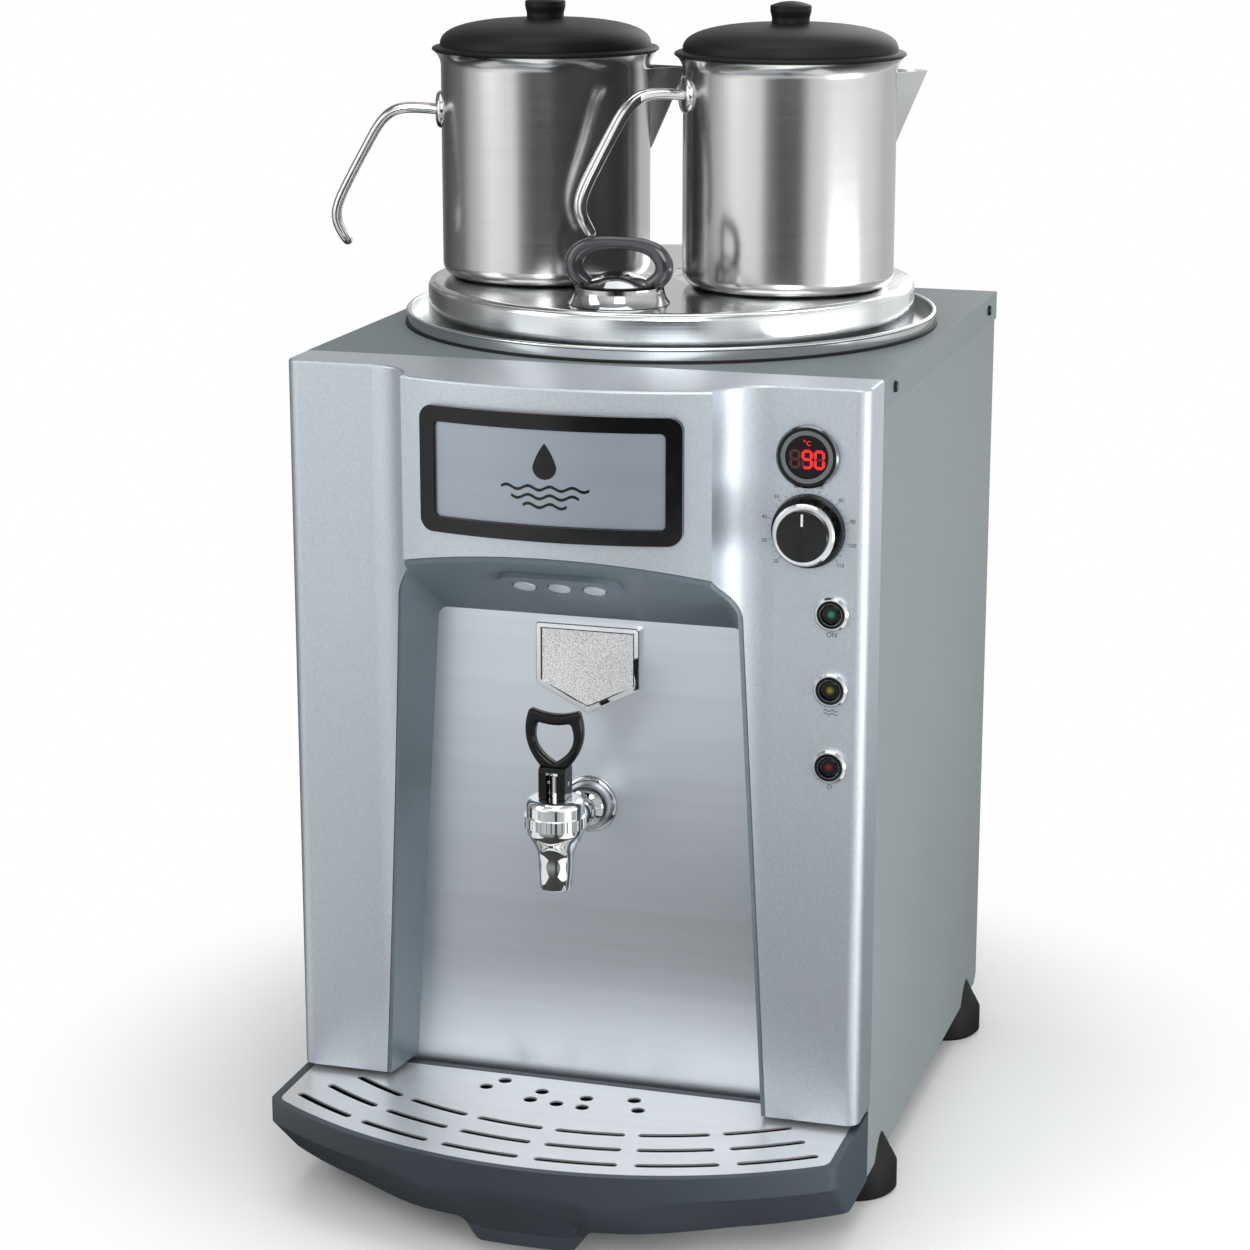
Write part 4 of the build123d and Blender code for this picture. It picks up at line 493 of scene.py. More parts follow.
coat(gloss_black, "sign_frame", "thermostat_knob", "tap_lever", "cover_screws", "rear_screws")
smoky_grip = smudged("smoky_grip", (0.052, 0.045, 0.054), (0.07, 0.15), metallic=0.0, Coat_Weight=0.5)
print("casing coated", len(coated))

# %% [markdown]
# The steel: the recess back and the tray grille are brushed from side to side, the teapots are brushed
# round and round, and the boiler lid is spun on a lathe, with a highlight in fans painted into its colour.
# Chrome stays nearly a mirror, with smudges.

# %% Steel and chrome finishes
recess_steel = brushed_steel("recess_steel", (0.79, 0.84, 0.89), (14, 14, 1100), (0.30, 0.40), 0.000004)
coat(recess_steel, "front_bulkhead")
grille_steel = brushed_steel(
    "grille_steel", (0.88, 0.885, 0.89), (14, 1100, 1100), (0.32, 0.44), metallic=0.8
)
coat(grille_steel, "tray_grille", "tray_rails")
pot_steel = brushed_steel("pot_steel", (0.58, 0.577, 0.572), (9, 9, 1500), (0.15, 0.25), 0.000001, 0.04)
coat(pot_steel, "left_teapot_body", "right_teapot_body")
# the lid's colour is lighter and darker by heading from its axis: a painted highlight in fans
lid_steel = spun_steel("lid_steel", (0.80, 0.82, 0.825), (0, 0, 0), shade_by="Fan", spread=0.22)
coat(lid_steel, "boiler_lid")
coat(spun_steel("tank_steel", (0.58, 0.595, 0.60), (0, 0, 0)), "boiler_tank")
# The filler cap's steel is darker than the lid's: painted shade for the dark that its dome mirrors
coat(spun_steel("cap_shaded_steel", (0.46, 0.47, 0.48), (0, -0.113, 0), (0.05, 0.12)), "filler_cap")
rod_steel = smudged("rod_steel", (0.66, 0.66, 0.66), (0.14, 0.22))
coat(rod_steel, "thermostat_shaft", "heater_element")
chrome = smudged("chrome", (0.90, 0.905, 0.91), (0.02, 0.06))
coat(chrome, "tap_bonnet", "valve_stem", "lever_pin", "badge_plate")
coat(smudged("ring_chrome", (0.74, 0.75, 0.76), (0.16, 0.24)), "lamp_bezels", "knob_trim_ring")
coat(smudged("bezel_grey", (0.20, 0.215, 0.225), (0.16, 0.26)), "meter_bezel")
plate_silver = brushed_steel("plate_silver", (0.38, 0.42, 0.48), (10, 10, 900), (0.40, 0.48), 0.000003)
coat(plate_silver, "sign_plate")
coat(smudged("brass", (0.58, 0.40, 0.14), (0.18, 0.3)), "shank_nut")
print("casing and steel coated", len(coated))

# %% [markdown]
# Small things. A pilot lamp that is off looks nearly black, with a small coloured heart where the lamp sits
# behind its lens, so the lens mixes two colours by the distance from its centre. The heart also gives off a
# faint painted glow, though the lamp is off. The meter's window is smoked, the seals are silicone, and the
# jacket round the boiler is mineral wool. What is left without a finish gets a new piece later.

# %% Lenses and hidden parts
def middle_of(name):
    """The middle of a node's box."""
    low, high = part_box(name)
    return (low + high) / 2


def lens(name, node, glass, glow, reach, strength):
    """A dark lens whose heart glows faintly in its own colour: a painted glow, since the lamp is off."""
    material = finish(
        name, core, {"Centre": middle_of(node), "Reach": reach}, "Core", glass, glow, rough=(0.08, 0.08),
        Emission_Strength=strength, **dull,
    )
    shader = material.node_tree.nodes["Principled BSDF"]
    shade = shader.inputs["Base Color"].links[0].from_socket
    material.node_tree.links.new(shade, shader.inputs["Emission Color"])
    coat(material, node)


def glowing(name, colour, glow, strength):
    """A polished face that gives off an even light."""
    return smudged(
        name, colour, (0.10, 0.16), metallic=0.0, Emission_Color=(*glow, 1), Emission_Strength=strength
    )


LAMPS = {"green": (0.004, 0.20, 0.11), "amber": (0.17, 0.15, 0.006), "red": (0.15, 0.012, 0.012)}
for lamp, glow in LAMPS.items():
    lens(lamp + "_lens", "lamp_lens_" + lamp, (0.004, 0.005, 0.006), glow, reach=3.1 * mm, strength=0.30)
coat(glowing("lamp_glass", (0.34, 0.37, 0.38), (0.8, 0.85, 0.9), 0.05), "light_lenses")
coat(smudged("meter_smoke", (0.004, 0.002, 0.002), (0.12, 0.2), metallic=0.0, **dull), "meter_window")
coat(moulded("silicone", (0.55, 0.55, 0.52), 500.0, 0.00001, (0.5, 0.6)), "shank_seal", "valve_cup")
coat(moulded("mineral_wool", (0.50, 0.44, 0.26), 300.0, 0.0008, (0.9, 0.95), 0.2), "insulation_jacket")
white_plastic = moulded("white_plastic", (0.66, 0.65, 0.60), 900.0, 0.00001)
coat(white_plastic, "thermostat_body", "limit_thermostat", "terminal_block")
print("left for new pieces:", sorted(set(nodes) - coated))

# %% [markdown]
# What repeats when a piece is added by hand: clear the selection, add a primitive, shape it, and at the end
# apply its place, so that its object sits at the origin as the CAD nodes do. Printed marks are made flat in
# front of the machine, and a Shrinkwrap modifier then lays them on the face that carries them.

# %% Piece helpers
FACING = (math.radians(90), 0, 0)  # turns a flat piece to face the front


def front_of(name):
    """How far to the front a node reaches, along Y."""
    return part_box(name)[0].y


def foot_of(name):
    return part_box(name)[0].z


def top_of(name):
    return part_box(name)[1].z


def half_width(name):
    low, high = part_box(name)
    return (high.x - low.x) / 2


def pick(piece):
    """Makes a piece the active one, and the only one selected."""
    clear()
    piece.select_set(True)
    bpy.context.view_layer.objects.active = piece


def apply_all(piece):
    """Applies a piece's modifiers."""
    pick(piece)
    for modifier in list(piece.modifiers):
        bpy.ops.object.modifier_apply(modifier=modifier.name)


@contextmanager
def edit_mode():
    """Edit mode on the active piece, with all of it selected."""
    bpy.ops.object.mode_set(mode="EDIT")
    bpy.ops.mesh.select_all(action="SELECT")
    yield
    bpy.ops.object.mode_set(mode="OBJECT")


def join(name, pieces):
    """Joins pieces to one, with its place in its mesh."""
    pick(pieces[0])
    for piece in pieces[1:]:
        piece.select_set(True)
    if len(pieces) > 1:
        bpy.ops.object.join()
    joined = bpy.context.object
    joined.name = name
    freeze()
    return joined


def settle(piece, body, material):
    """Gives a new piece its finish, and the body that it moves with."""
    piece.data.materials.clear()
    piece.data.materials.append(material)
    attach(piece, body)
    print(piece.name, "faces", len(piece.data.polygons))


def walled(piece, thick, offset=0):
    """Gives a flat piece its thickness, to both sides or to one."""
    wall = piece.modifiers.new("wall", "SOLIDIFY")
    wall.thickness = thick
    wall.offset = offset
    apply_all(piece)


def lay_on(piece, node, lift, thick):
    """Lays a flat piece on the front of a node, and gives it a printed thickness."""
    wrap = piece.modifiers.new("lay", "SHRINKWRAP")
    wrap.target = nodes[node]
    wrap.wrap_method = "PROJECT"
    wrap.use_project_x, wrap.use_project_y, wrap.use_project_z = False, True, False
    wrap.use_negative_direction = True
    wrap.use_positive_direction = True
    apply_all(piece)
    for vertex in piece.data.vertices:
        vertex.co.y -= lift
    walled(piece, thick)


print("piece helpers ready")

# %% [markdown]
# Rings, collars and seals are turned: a closed outline is drawn beside an axis, and the Spin operator
# carries it once round. The outline starts as a circle with as many points as it needs, and each point is
# then put at its radius and height. After a full spin the seam is merged and the faces are turned outwards.

# %% Turned pieces
UPWARD, FORWARD = Vector((0, 0, 1)), Vector((0, -1, 0))


def close_up(piece, smooth_to=40):
    """Merges seams, drops loose edges, turns faces outwards and smooths all but sharp edges."""
    pick(piece)
    with edit_mode():
        bpy.ops.mesh.remove_doubles(threshold=0.000005)
        bpy.ops.mesh.delete_loose()
        bpy.ops.mesh.select_all(action="SELECT")
        bpy.ops.mesh.normals_make_consistent(inside=False)
    bpy.ops.object.shade_smooth_by_angle(angle=math.radians(smooth_to))


def turned(name, outline, centre, along=UPWARD, steps=96):
    """A turned piece from an outline of (radius, height) pairs in metres, with heights along its axis."""
    clear()
    bpy.ops.mesh.primitive_circle_add(vertices=len(outline), radius=1, location=(0, 0, 0))
    piece = bpy.context.object
    piece.name = name
    middle = Vector(centre)
    side = along.orthogonal().normalized()
    for vertex, (out, height) in zip(piece.data.vertices, outline):
        vertex.co = middle + side * out + along * height
    with edit_mode():
        bpy.ops.mesh.spin(steps=steps, angle=2 * math.pi, center=middle, axis=along)
    close_up(piece)
    return piece


def round_section(out, height, wide, tall, points=12):
    """An oval outline about one (radius, height) place."""
    turns = [2 * math.pi * k / points for k in range(points)]
    return [(out + wide * math.cos(t), height + tall * math.sin(t)) for t in turns]


print("turning ready")

# %% [markdown]
# Bent rods are curves: a NURBS path takes the corners of the bend as its control points, rounds them by
# itself, and its bevel gives the rod its thickness, which may change from point to point. It is then made a
# mesh.

# %% Bent rods
def rod(name, points, radii):
    """A bent rod with a radius at each of its control points, closed at both ends."""
    clear()
    bpy.ops.curve.primitive_nurbs_path_add(location=(0, 0, 0))
    line = bpy.context.object
    spline = line.data.splines[0]
    spline.points.add(len(points) - len(spline.points))
    for point, place, radius in zip(spline.points, points, radii):
        point.co = (*place, 1)
        point.radius = radius / max(radii)
    spline.order_u = 4
    spline.use_endpoint_u = True
    line.data.resolution_u = 12
    line.data.bevel_depth = max(radii)
    line.data.bevel_resolution = 6
    line.data.use_fill_caps = True
    bpy.ops.object.convert(target="MESH")
    piece = bpy.context.object
    piece.name = name
    close_up(piece)
    return piece


print("bending ready")

# %% [markdown]
# The sign above the recess is a silver plate behind a black frame. It carries a plain picture of its own: a
# drop of water over three waves. The drop is a disc whose upper half is drawn out to a point, and each wave
# is a strip of a grid whose points are lifted by a sine.

# %% Sign picture
def wave_strip(place, size, swing, half_wave, steps):
    """A flat wavy strip that faces the front."""
    clear()
    bpy.ops.mesh.primitive_grid_add(
        x_subdivisions=steps, y_subdivisions=1, size=1, location=place, rotation=FACING
    )
    strip = bpy.context.object
    strip.scale = (*size, 1)
    freeze()
    for vertex in strip.data.vertices:
        vertex.co.z += swing * math.sin((vertex.co.x - place[0]) / half_wave * math.pi)
    return strip


sign_z = middle_of("sign_plate").z
print_y = front_of("sign_plate") - 20 * mm
drop_radius, drop_z, drop_narrowing, drop_stretch = 7 * mm, sign_z + 6 * mm, 0.45, 0.95
wave_widths, first_wave, wave_pitch = (52 * mm, 40 * mm, 26 * mm), 6 * mm, 5 * mm
clear()
bpy.ops.mesh.primitive_circle_add(
    vertices=64, radius=drop_radius, fill_type="TRIFAN", location=(0, print_y, drop_z), rotation=FACING
)
drop = bpy.context.object
freeze()
for vertex in drop.data.vertices:
    high = vertex.co.z - drop_z
    if high > 0:
        vertex.co.x *= max(0.0, 1 - high / drop_radius) ** drop_narrowing
        vertex.co.z += high * drop_stretch
marks = [drop]
for row, width in enumerate(wave_widths):
    wave_place = (0, print_y, sign_z - first_wave - wave_pitch * row)
    marks.append(
        wave_strip(wave_place, (width, 1.7 * mm), swing=1.1 * mm, half_wave=6.5 * mm, steps=60)
    )
sign_print = join("sign_picture", marks)
lay_on(sign_print, "sign_plate", lift=0.15 * mm, thick=0.12 * mm)
settle(sign_print, "cabinet", gloss_black)

# %% [markdown]
# The meter has three places of seven segments each behind a smoked window. Each segment is a six-sided bar
# with pointed ends. Two places are lit, and what is dark in all three still shows faintly, by its red tint
# and a faint painted glow. A ring and a C above them stand for degrees.

# %% Meter digits
meter = middle_of("meter_window")
digit_y = front_of("meter_window") - 0.12 * mm
digit_half, digit_tall, digit_pitch, digit_drop = 2.4 * mm, 4.7 * mm, 7.0 * mm, 1.4 * mm
bar_half, bar_gap = 0.80 * mm, 0.12 * mm
# across, up and whether the bar is upright, in halves of the digit
SEGMENTS = {
    "top": (0, 2, False), "upper_left": (-1, 1, True), "upper_right": (1, 1, True), "middle": (0, 0, False),
    "lower_left": (-1, -1, True), "lower_right": (1, -1, True), "bottom": (0, -2, False),
}
READING = (
    (),
    ("top", "upper_left", "upper_right", "middle", "lower_right", "bottom"),
    ("top", "upper_left", "upper_right", "lower_left", "lower_right", "bottom"),
)


def segment(x, z, upright):
    """One bar of a digit, pointed at both ends."""
    clear()
    bpy.ops.mesh.primitive_circle_add(
        vertices=6, radius=1, fill_type="NGON", location=(x, digit_y, z),
        rotation=FACING if upright else (FACING[0], math.radians(90), 0),
    )
    bar = bpy.context.object
    half_long = (digit_tall / 2 if upright else digit_half) - bar_gap
    for vertex in bar.data.vertices:
        tip = abs(vertex.co.y) > 0.9
        vertex.co.y = math.copysign(half_long if tip else half_long - bar_half, vertex.co.y)
        vertex.co.x = 0 if tip else math.copysign(bar_half, vertex.co.x)
    return bar


def lettering(words, size, place):
    """Letters that face the front, as a flat mesh about one place."""
    clear()
    bpy.ops.object.text_add(location=place, rotation=FACING)
    letters = bpy.context.object
    letters.data.body = words
    letters.data.size = size
    letters.data.align_x, letters.data.align_y = "CENTER", "CENTER"
    bpy.ops.object.convert(target="MESH")
    return bpy.context.object


lit_bars, dark_bars = [], []
for digit, lit_parts in enumerate(READING):
    for part, (across, up, upright) in SEGMENTS.items():
        x = meter.x + (digit - 1) * digit_pitch + across * digit_half
        bar = segment(x, meter.z - digit_drop + up * digit_tall / 2, upright)
        (lit_bars if part in lit_parts else dark_bars).append(bar)
lit_bars.append(lettering("C", 3.8 * mm, (meter.x + 0.8 * mm, digit_y, meter.z + 7.6 * mm)))
lit_bars.append(lettering("o", 2.6 * mm, (meter.x - 1.6 * mm, digit_y, meter.z + 9.2 * mm)))
digits = join("meter_digits", lit_bars)
walled(digits, 0.16 * mm)
settle(digits, "cabinet", glowing("lit_red", (0.5, 0.008, 0.004), (1.0, 0.010, 0.008), 1.0))
dark_digits = join("meter_digits_dark", dark_bars)
walled(dark_digits, 0.10 * mm)
# the dark segments are tinted red and given a faint painted glow, though they are not lit
dark_segment_glow = glowing("dark_segment_glow", (0.050, 0.010, 0.010), (0.10, 0.0, 0.0), 0.12)
settle(dark_digits, "cabinet", dark_segment_glow)

# %% [markdown]
# The meter's grey bezel has a black band let into its face. Each lamp sits in a black collar inside its
# bright bezel, whose black is painted shade, so that the lens looks deep. They are turned rings a hair above
# the metal they are let into.

# %% Meter band and lamp collars
proud = 0.12 * mm
band_outline = (
    (15.0 * mm, 0.0), (17.0 * mm, 0.0), (16.8 * mm, proud + 0.1 * mm), (15.2 * mm, proud + 0.1 * mm),
)
band = turned("meter_band", band_outline, (meter.x, front_of("meter_bezel"), meter.z), FORWARD)
settle(band, "cabinet", gloss_black)
# black collars round the lenses: painted shade that makes each lens look deep
collars = []
for lamp in LAMPS:
    lens_middle = middle_of("lamp_lens_" + lamp)
    lens_radius = half_width("lamp_lens_" + lamp)
    collar_outline = (
        (lens_radius + 0.3 * mm, -0.4 * mm),
        (lens_radius + 0.3 * mm, proud),
        (lens_radius + 0.7 * mm, 2 * proud),
        (lens_radius + 2.0 * mm, 2 * proud),
        (lens_radius + 2.2 * mm, 0.0),
    )
    collar_place = (lens_middle.x, front_of("lamp_bezels"), lens_middle.z)
    collars.append(turned("collar_" + lamp, collar_outline, collar_place, FORWARD, steps=64))
settle(join("lamp_shade_collars", collars), "cabinet", gloss_black)

# %% [markdown]
# Seals and rims round the boiler: the gutter's sheet is rolled to a bead at its rim, a black ring lies under
# the gutter where it meets the cover as painted shadow, and a black gasket closes the polished dome of the
# filler cap. The bead and the gasket are spun ovals, and the black ring is a spun lip.

# %% Gutter bead, painted shadow ring and filler gasket
gutter_radius = half_width("boiler_tank")
gutter_steps = 160
bead_outline = round_section(
    gutter_radius - 0.4 * mm, top_of("boiler_tank") - 1.0 * mm, wide=1.5 * mm, tall=1.2 * mm
)
bead = turned("gutter_bead", bead_outline, (0, 0, 0), UPWARD, steps=gutter_steps)
settle(bead, "cabinet", smudged("rim_steel", (0.72, 0.73, 0.74), (0.10, 0.18)))
# a black ring under the gutter's edge: painted shadow where the gutter meets the cover
shadow_ring_outline = (
    (gutter_radius - 1.0 * mm, 0.0),
    (gutter_radius + 1.6 * mm, 0.0),
    (gutter_radius + 1.4 * mm, 1.2 * mm),
    (gutter_radius + 0.1 * mm, 1.7 * mm),
    (gutter_radius - 0.6 * mm, 0.8 * mm),
)
gutter_shadow = turned("gutter_shadow_ring", shadow_ring_outline, (0, 0, top_of("top_cover")), UPWARD, steps=gutter_steps)
settle(gutter_shadow, "cabinet", foot_black)
cap_y = middle_of("filler_cap").y
dome_radius, dome_foot = 21.5 * mm, top_of("filler_cap") - 8.5 * mm
gasket_outline = round_section(dome_radius + 0.9 * mm, dome_foot + 0.5 * mm, wide=1.1 * mm, tall=0.7 * mm)
gasket = turned("filler_gasket", gasket_outline, (0, cap_y, 0), UPWARD, steps=72)
settle(gasket, "filler", foot_black)

# %% [markdown]
# The badge over the tap keeps its raised rim, and its field is stippled as a casting is, with painted glints
# speckled into its colour. A grid is cut to the five-sided outline with Bisect, and a noise lifts each of its
# points a little. A black line lies in the corner between field and rim as painted shadow. It is what Inset
# leaves of one five-sided face, once its middle is deleted.

# %% Badge field and painted groove shadow
badge_low, badge_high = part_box("badge_plate")
rim_width, field_sink, stipple, stipple_top = 3.2 * mm, 0.85 * mm, 0.11 * mm, 0.6
fine_lumps, broad_lumps = 1150, 420  # to the metre
field_y = badge_low.y + field_sink
field_low = badge_low.z + 3.6 * mm
field_top = badge_high.z - rim_width
shoulder = badge_high.z - 36 * mm
half_field = badge_high.x - rim_width
clear()
bpy.ops.mesh.primitive_grid_add(
    x_subdivisions=160, y_subdivisions=135, size=1, location=(0, field_y, (field_top + field_low) / 2),
    rotation=FACING,
)
field = bpy.context.object
field.name = "badge_field"
field.scale = (2 * half_field, field_top - field_low, 1)
freeze()
for side in (-1, 1):
    slope = (side * (shoulder - field_low), 0, -half_field)
    with edit_mode():
        bpy.ops.mesh.bisect(plane_co=(0, badge_low.y, field_low), plane_no=slope, clear_outer=True)
for vertex in field.data.vertices:
    lump = noise.noise(vertex.co * fine_lumps) + 0.4 * noise.noise(vertex.co * broad_lumps)
    vertex.co.y -= stipple * max(-stipple_top, min(stipple_top, lump))
walled(field, 0.2 * mm)
bpy.ops.object.shade_smooth()
# The field's colour runs from near white to dark grey in fine specks: painted glints and shade of the stipple
stipple_glint_chrome = finish(
    "stipple_glint_chrome", smudges, {"Size": 1400.0}, "Smudge", (0.97, 0.97, 0.97), (0.36, 0.36, 0.37), "Smudge",
    (0.30, 0.42), metallic=0.35,
)
settle(field, "cabinet", stipple_glint_chrome)

# a black line in the corner between field and rim: painted shadow of the groove
shadow_width, shadow_proud = 0.55 * mm, 0.3 * mm
corners = (
    (0, field_low), (half_field, shoulder), (half_field, field_top), (-half_field, field_top),
    (-half_field, shoulder),
)
clear()
bpy.ops.mesh.primitive_circle_add(vertices=len(corners), radius=1, fill_type="NGON", location=(0, 0, 0))
line = bpy.context.object
line.name = "badge_groove_shadow"
for vertex, (x, z) in zip(line.data.vertices, corners):
    vertex.co = (x, field_y - shadow_proud, z)
with edit_mode():
    bpy.ops.mesh.inset(thickness=shadow_width)
    bpy.ops.mesh.delete(type="FACE")
walled(line, 0.12 * mm)
settle(line, "cabinet", gloss_black)

# %% [markdown]
# A white line is let into the groove on the knob's cap, so that the setting can be read. It is a bar with
# its edges rounded by a Bevel modifier, and it rides with the knob.

# %% Knob pointer
knob = middle_of("thermostat_knob")
pointer_sink, pointer_up = 0.25 * mm, 9.4 * mm
pointer_wide, pointer_deep, pointer_long = 1.3 * mm, 0.7 * mm, 7.0 * mm
clear()
bpy.ops.mesh.primitive_cube_add(
    size=1, location=(knob.x, front_of("thermostat_knob") + pointer_sink, knob.z + pointer_up)
)
pointer = bpy.context.object
pointer.name = "knob_pointer"
pointer.scale = (pointer_wide, pointer_deep, pointer_long)
freeze()
edge = pointer.modifiers.new("edge", "BEVEL")
edge.width = 0.2 * mm
edge.segments = 3
apply_all(pointer)
pointer_white = moulded("pointer_white", (0.80, 0.80, 0.78), 900.0, 0.000002, (0.4, 0.5), 0.02)
settle(pointer, "knob", pointer_white)

# %% [markdown]
# Round the thermostat knob the panel is printed with a scale: fine ticks and a number at every third one.
# The knob's skirt reaches over the cove, so the print is laid on the panel by Shrinkwrap too.

# %% Dial scale
panel_ink = moulded("panel_ink", (0.05, 0.055, 0.06), 900.0, 0.000002, (0.5, 0.6))
dial_y = -0.30  # in front of the panel, from where the print is laid on it
dial_start, dial_sweep, tick_count, number_every = 135.0, 270.0, 28, 3
tick_width, number_reach, number_size, first_number, number_step = 0.28 * mm, 26.4 * mm, 3.2 * mm, 20, 10
# reach and length
long_tick, short_tick = (23.4 * mm, 1.8 * mm), (23.0 * mm, 1.1 * mm)


def on_dial(step, reach):
    """The turn and the place of a mark on the dial, at this reach from the knob's middle."""
    turn = math.radians(dial_start - step * dial_sweep / (tick_count - 1))
    return turn, (knob.x - reach * math.sin(turn), dial_y, knob.z + reach * math.cos(turn))


def panel_print(name, marks):
    """One thin print on the front panel, of flat marks."""
    piece = join(name, marks)
    lay_on(piece, "front_panel", lift=0.08 * mm, thick=0.08 * mm)
    settle(piece, "cabinet", panel_ink)


ticks = []
for step in range(tick_count):
    reach, length = short_tick if step % number_every else long_tick
    turn, tick_place = on_dial(step, reach)
    clear()
    bpy.ops.mesh.primitive_plane_add(size=1, location=tick_place)
    tick = bpy.context.object
    tick.rotation_euler = (FACING[0], -turn, 0)
    tick.scale = (tick_width, length, 1)
    ticks.append(tick)
panel_print("dial_ticks", ticks)
numbers = [lettering("OFF", 2.6 * mm, (knob.x - 6.5 * mm, dial_y, knob.z + 25.6 * mm))]
for step in range(0, tick_count, number_every):
    degrees = first_number + number_step * (step // number_every)
    numbers.append(lettering(str(degrees), number_size, on_dial(step, number_reach)[1]))
panel_print("dial_numbers", numbers)

# %% [markdown]
# Under each pilot lamp stands a small mark: ON for power, two waves for heat and a ring for low water. They
# are flat letters and strips, laid on the panel like the scale.

# %% Lamp marks
mark_drop, mark_size, mark_pitch = 12.5 * mm, 4.0 * mm, 2.0 * mm


def under_lamp(lamp, row=0):
    """The place of a mark under a pilot lamp."""
    lens_middle = middle_of("lamp_lens_" + lamp)
    return (lens_middle.x, dial_y, lens_middle.z - mark_drop - mark_pitch * row)


lamp_marks = [lettering("ON", mark_size, under_lamp("green"))]
for row in range(2):
    mark_place = under_lamp("amber", row)
    lamp_marks.append(
        wave_strip(mark_place, (8 * mm, 0.5 * mm), swing=0.5 * mm, half_wave=2 * mm, steps=30)
    )
lamp_marks.append(lettering("O", mark_size, under_lamp("red")))
panel_print("lamp_marks", lamp_marks)

# %% [markdown]
# Each foot is a round pad with a tongue that climbs the side panel and slopes to a point. Both belong to
# one cone with a straight foot, so the pad and the tongue are turned about the same axis. Bisect then cuts
# the tongue along the panel's face and closes the cut. The cone is as wide as the panel's distance at the
# point, so it ends there.

# %% Feet
pad_edge, straight_up, tuck, pad_shy, panel_gap = 2 * mm, 17 * mm, 0.5 * mm, 0.02 * mm, 0.05 * mm
waist = foot_of("right_side_panel")
panel_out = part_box("right_side_panel")[1].x + panel_gap
for name in ("foot_front_left", "foot_front_right", "foot_rear_left", "foot_rear_right"):
    low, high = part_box(name)
    side = 1 if high.x > 0 else -1
    panel_face = side * panel_out
    pad_middle = middle_of(name)
    centre = (pad_middle.x, pad_middle.y, 0)
    pad_radius = (high.y - low.y) / 2 - pad_shy
    point_radius = abs(panel_face - pad_middle.x)
    slope = (pad_radius - point_radius) / (high.z - straight_up)
    waist_radius = pad_radius - slope * (waist - straight_up)
    pad_outline = (
        (0, 0), (pad_radius - pad_edge, 0), (pad_radius, pad_edge), (pad_radius, straight_up),
        (waist_radius, waist), (0, waist),
    )
    tongue_outline = ((0, waist - tuck), (waist_radius, waist - tuck), (point_radius, high.z), (0, high.z))
    pad = turned(name + "_pad", pad_outline, centre)
    tongue = turned(name + "_tongue", tongue_outline, centre)
    with edit_mode():
        bpy.ops.mesh.bisect(
            plane_co=(panel_face, 0, 0), plane_no=(-side, 0, 0), use_fill=True, clear_outer=True
        )
    close_up(tongue)
    foot = join(name + "_sloped", [pad, tongue])
    settle(foot, "cabinet", foot_black)
    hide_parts(name)

# %% [markdown]
# The tray's front runs down into a finger tab without a step: its lower edge swings down on both sides of
# the tab in an S, and its face leans out to meet it. That is one bent apron over the tray's front. A grid
# gets its places from the tray's own arc, with an eased step for the swing, and a Solidify modifier gives
# it its wall.

# %% Tray apron
def eased(share):
    """A smooth step from 0 to 1."""
    share = max(0.0, min(1.0, share))
    return share * share * (3 - 2 * share)


front_radius, foot_radius = 300 * mm, 272 * mm
tray_middle = front_of("tray_pan") + front_radius
rim_z, floor_z, tab_z = 53 * mm, 23.5 * mm, 12.5 * mm
apron_half, tab_half, tab_swing, lean_half, lean_swing = 128 * mm, 27 * mm, 15 * mm, 58 * mm, 68 * mm
lean, lean_power, lift = 12.4 * mm, 0.8, 3.6 * mm
apron_gap, apron_wall, front_gap = 0.2 * mm, 2.5 * mm, 0.05 * mm
clear()
bpy.ops.mesh.primitive_grid_add(x_subdivisions=160, y_subdivisions=24, size=2, location=(0, 0, 0))
apron = bpy.context.object
apron.name = "tray_apron"
for vertex in apron.data.vertices:
    x = apron_half * vertex.co.x
    down = (1 - vertex.co.y) / 2
    in_tab = 1 - eased((abs(x) - tab_half) / tab_swing)
    leaning = 1 - eased((abs(x) - lean_half) / lean_swing)
    low_edge = floor_z + lift * leaning
    low_edge += (tab_z - low_edge) * in_tab
    z = rim_z + (low_edge - rim_z) * down
    wall_at = foot_radius + (front_radius - foot_radius) * max(0.0, z - floor_z) / (rim_z - floor_z)
    out = wall_at + apron_gap + lean * leaning * math.sin(down * math.pi / 2) ** lean_power
    out = min(front_radius - front_gap, out)
    vertex.co = (x, tray_middle - math.sqrt(out * out - x * x), z)
walled(apron, apron_wall, offset=-1)
close_up(apron)
settle(apron, "tray", tray_slate)

# %% [markdown]
# The teapots' lids are pressed from sheet: a broad dome with a tight shoulder, which sweeps out to a rolled
# rim and has a lip underneath that drops into the pot. The dome follows a superellipse, which is flatter on
# top and steeper at its foot than a circle. The lid is turned in one piece, with its wall, and stands for
# the plain one.

# %% Teapot lids
def dome(radius, height, foot, power=2.6, points=16):
    """A broad dome, from its top down to its foot, as (radius, height) pairs."""
    turns = [math.pi / 2 * k / points for k in range(points + 1)]
    return [(radius * math.sin(t) ** (2 / power), foot + height * math.cos(t) ** (2 / power)) for t in turns]


lip_depth, lip_inset, lid_wall, shoulder_inset, rim_thick = 6 * mm, 8.2 * mm, 1.2 * mm, 5 * mm, 3.2 * mm
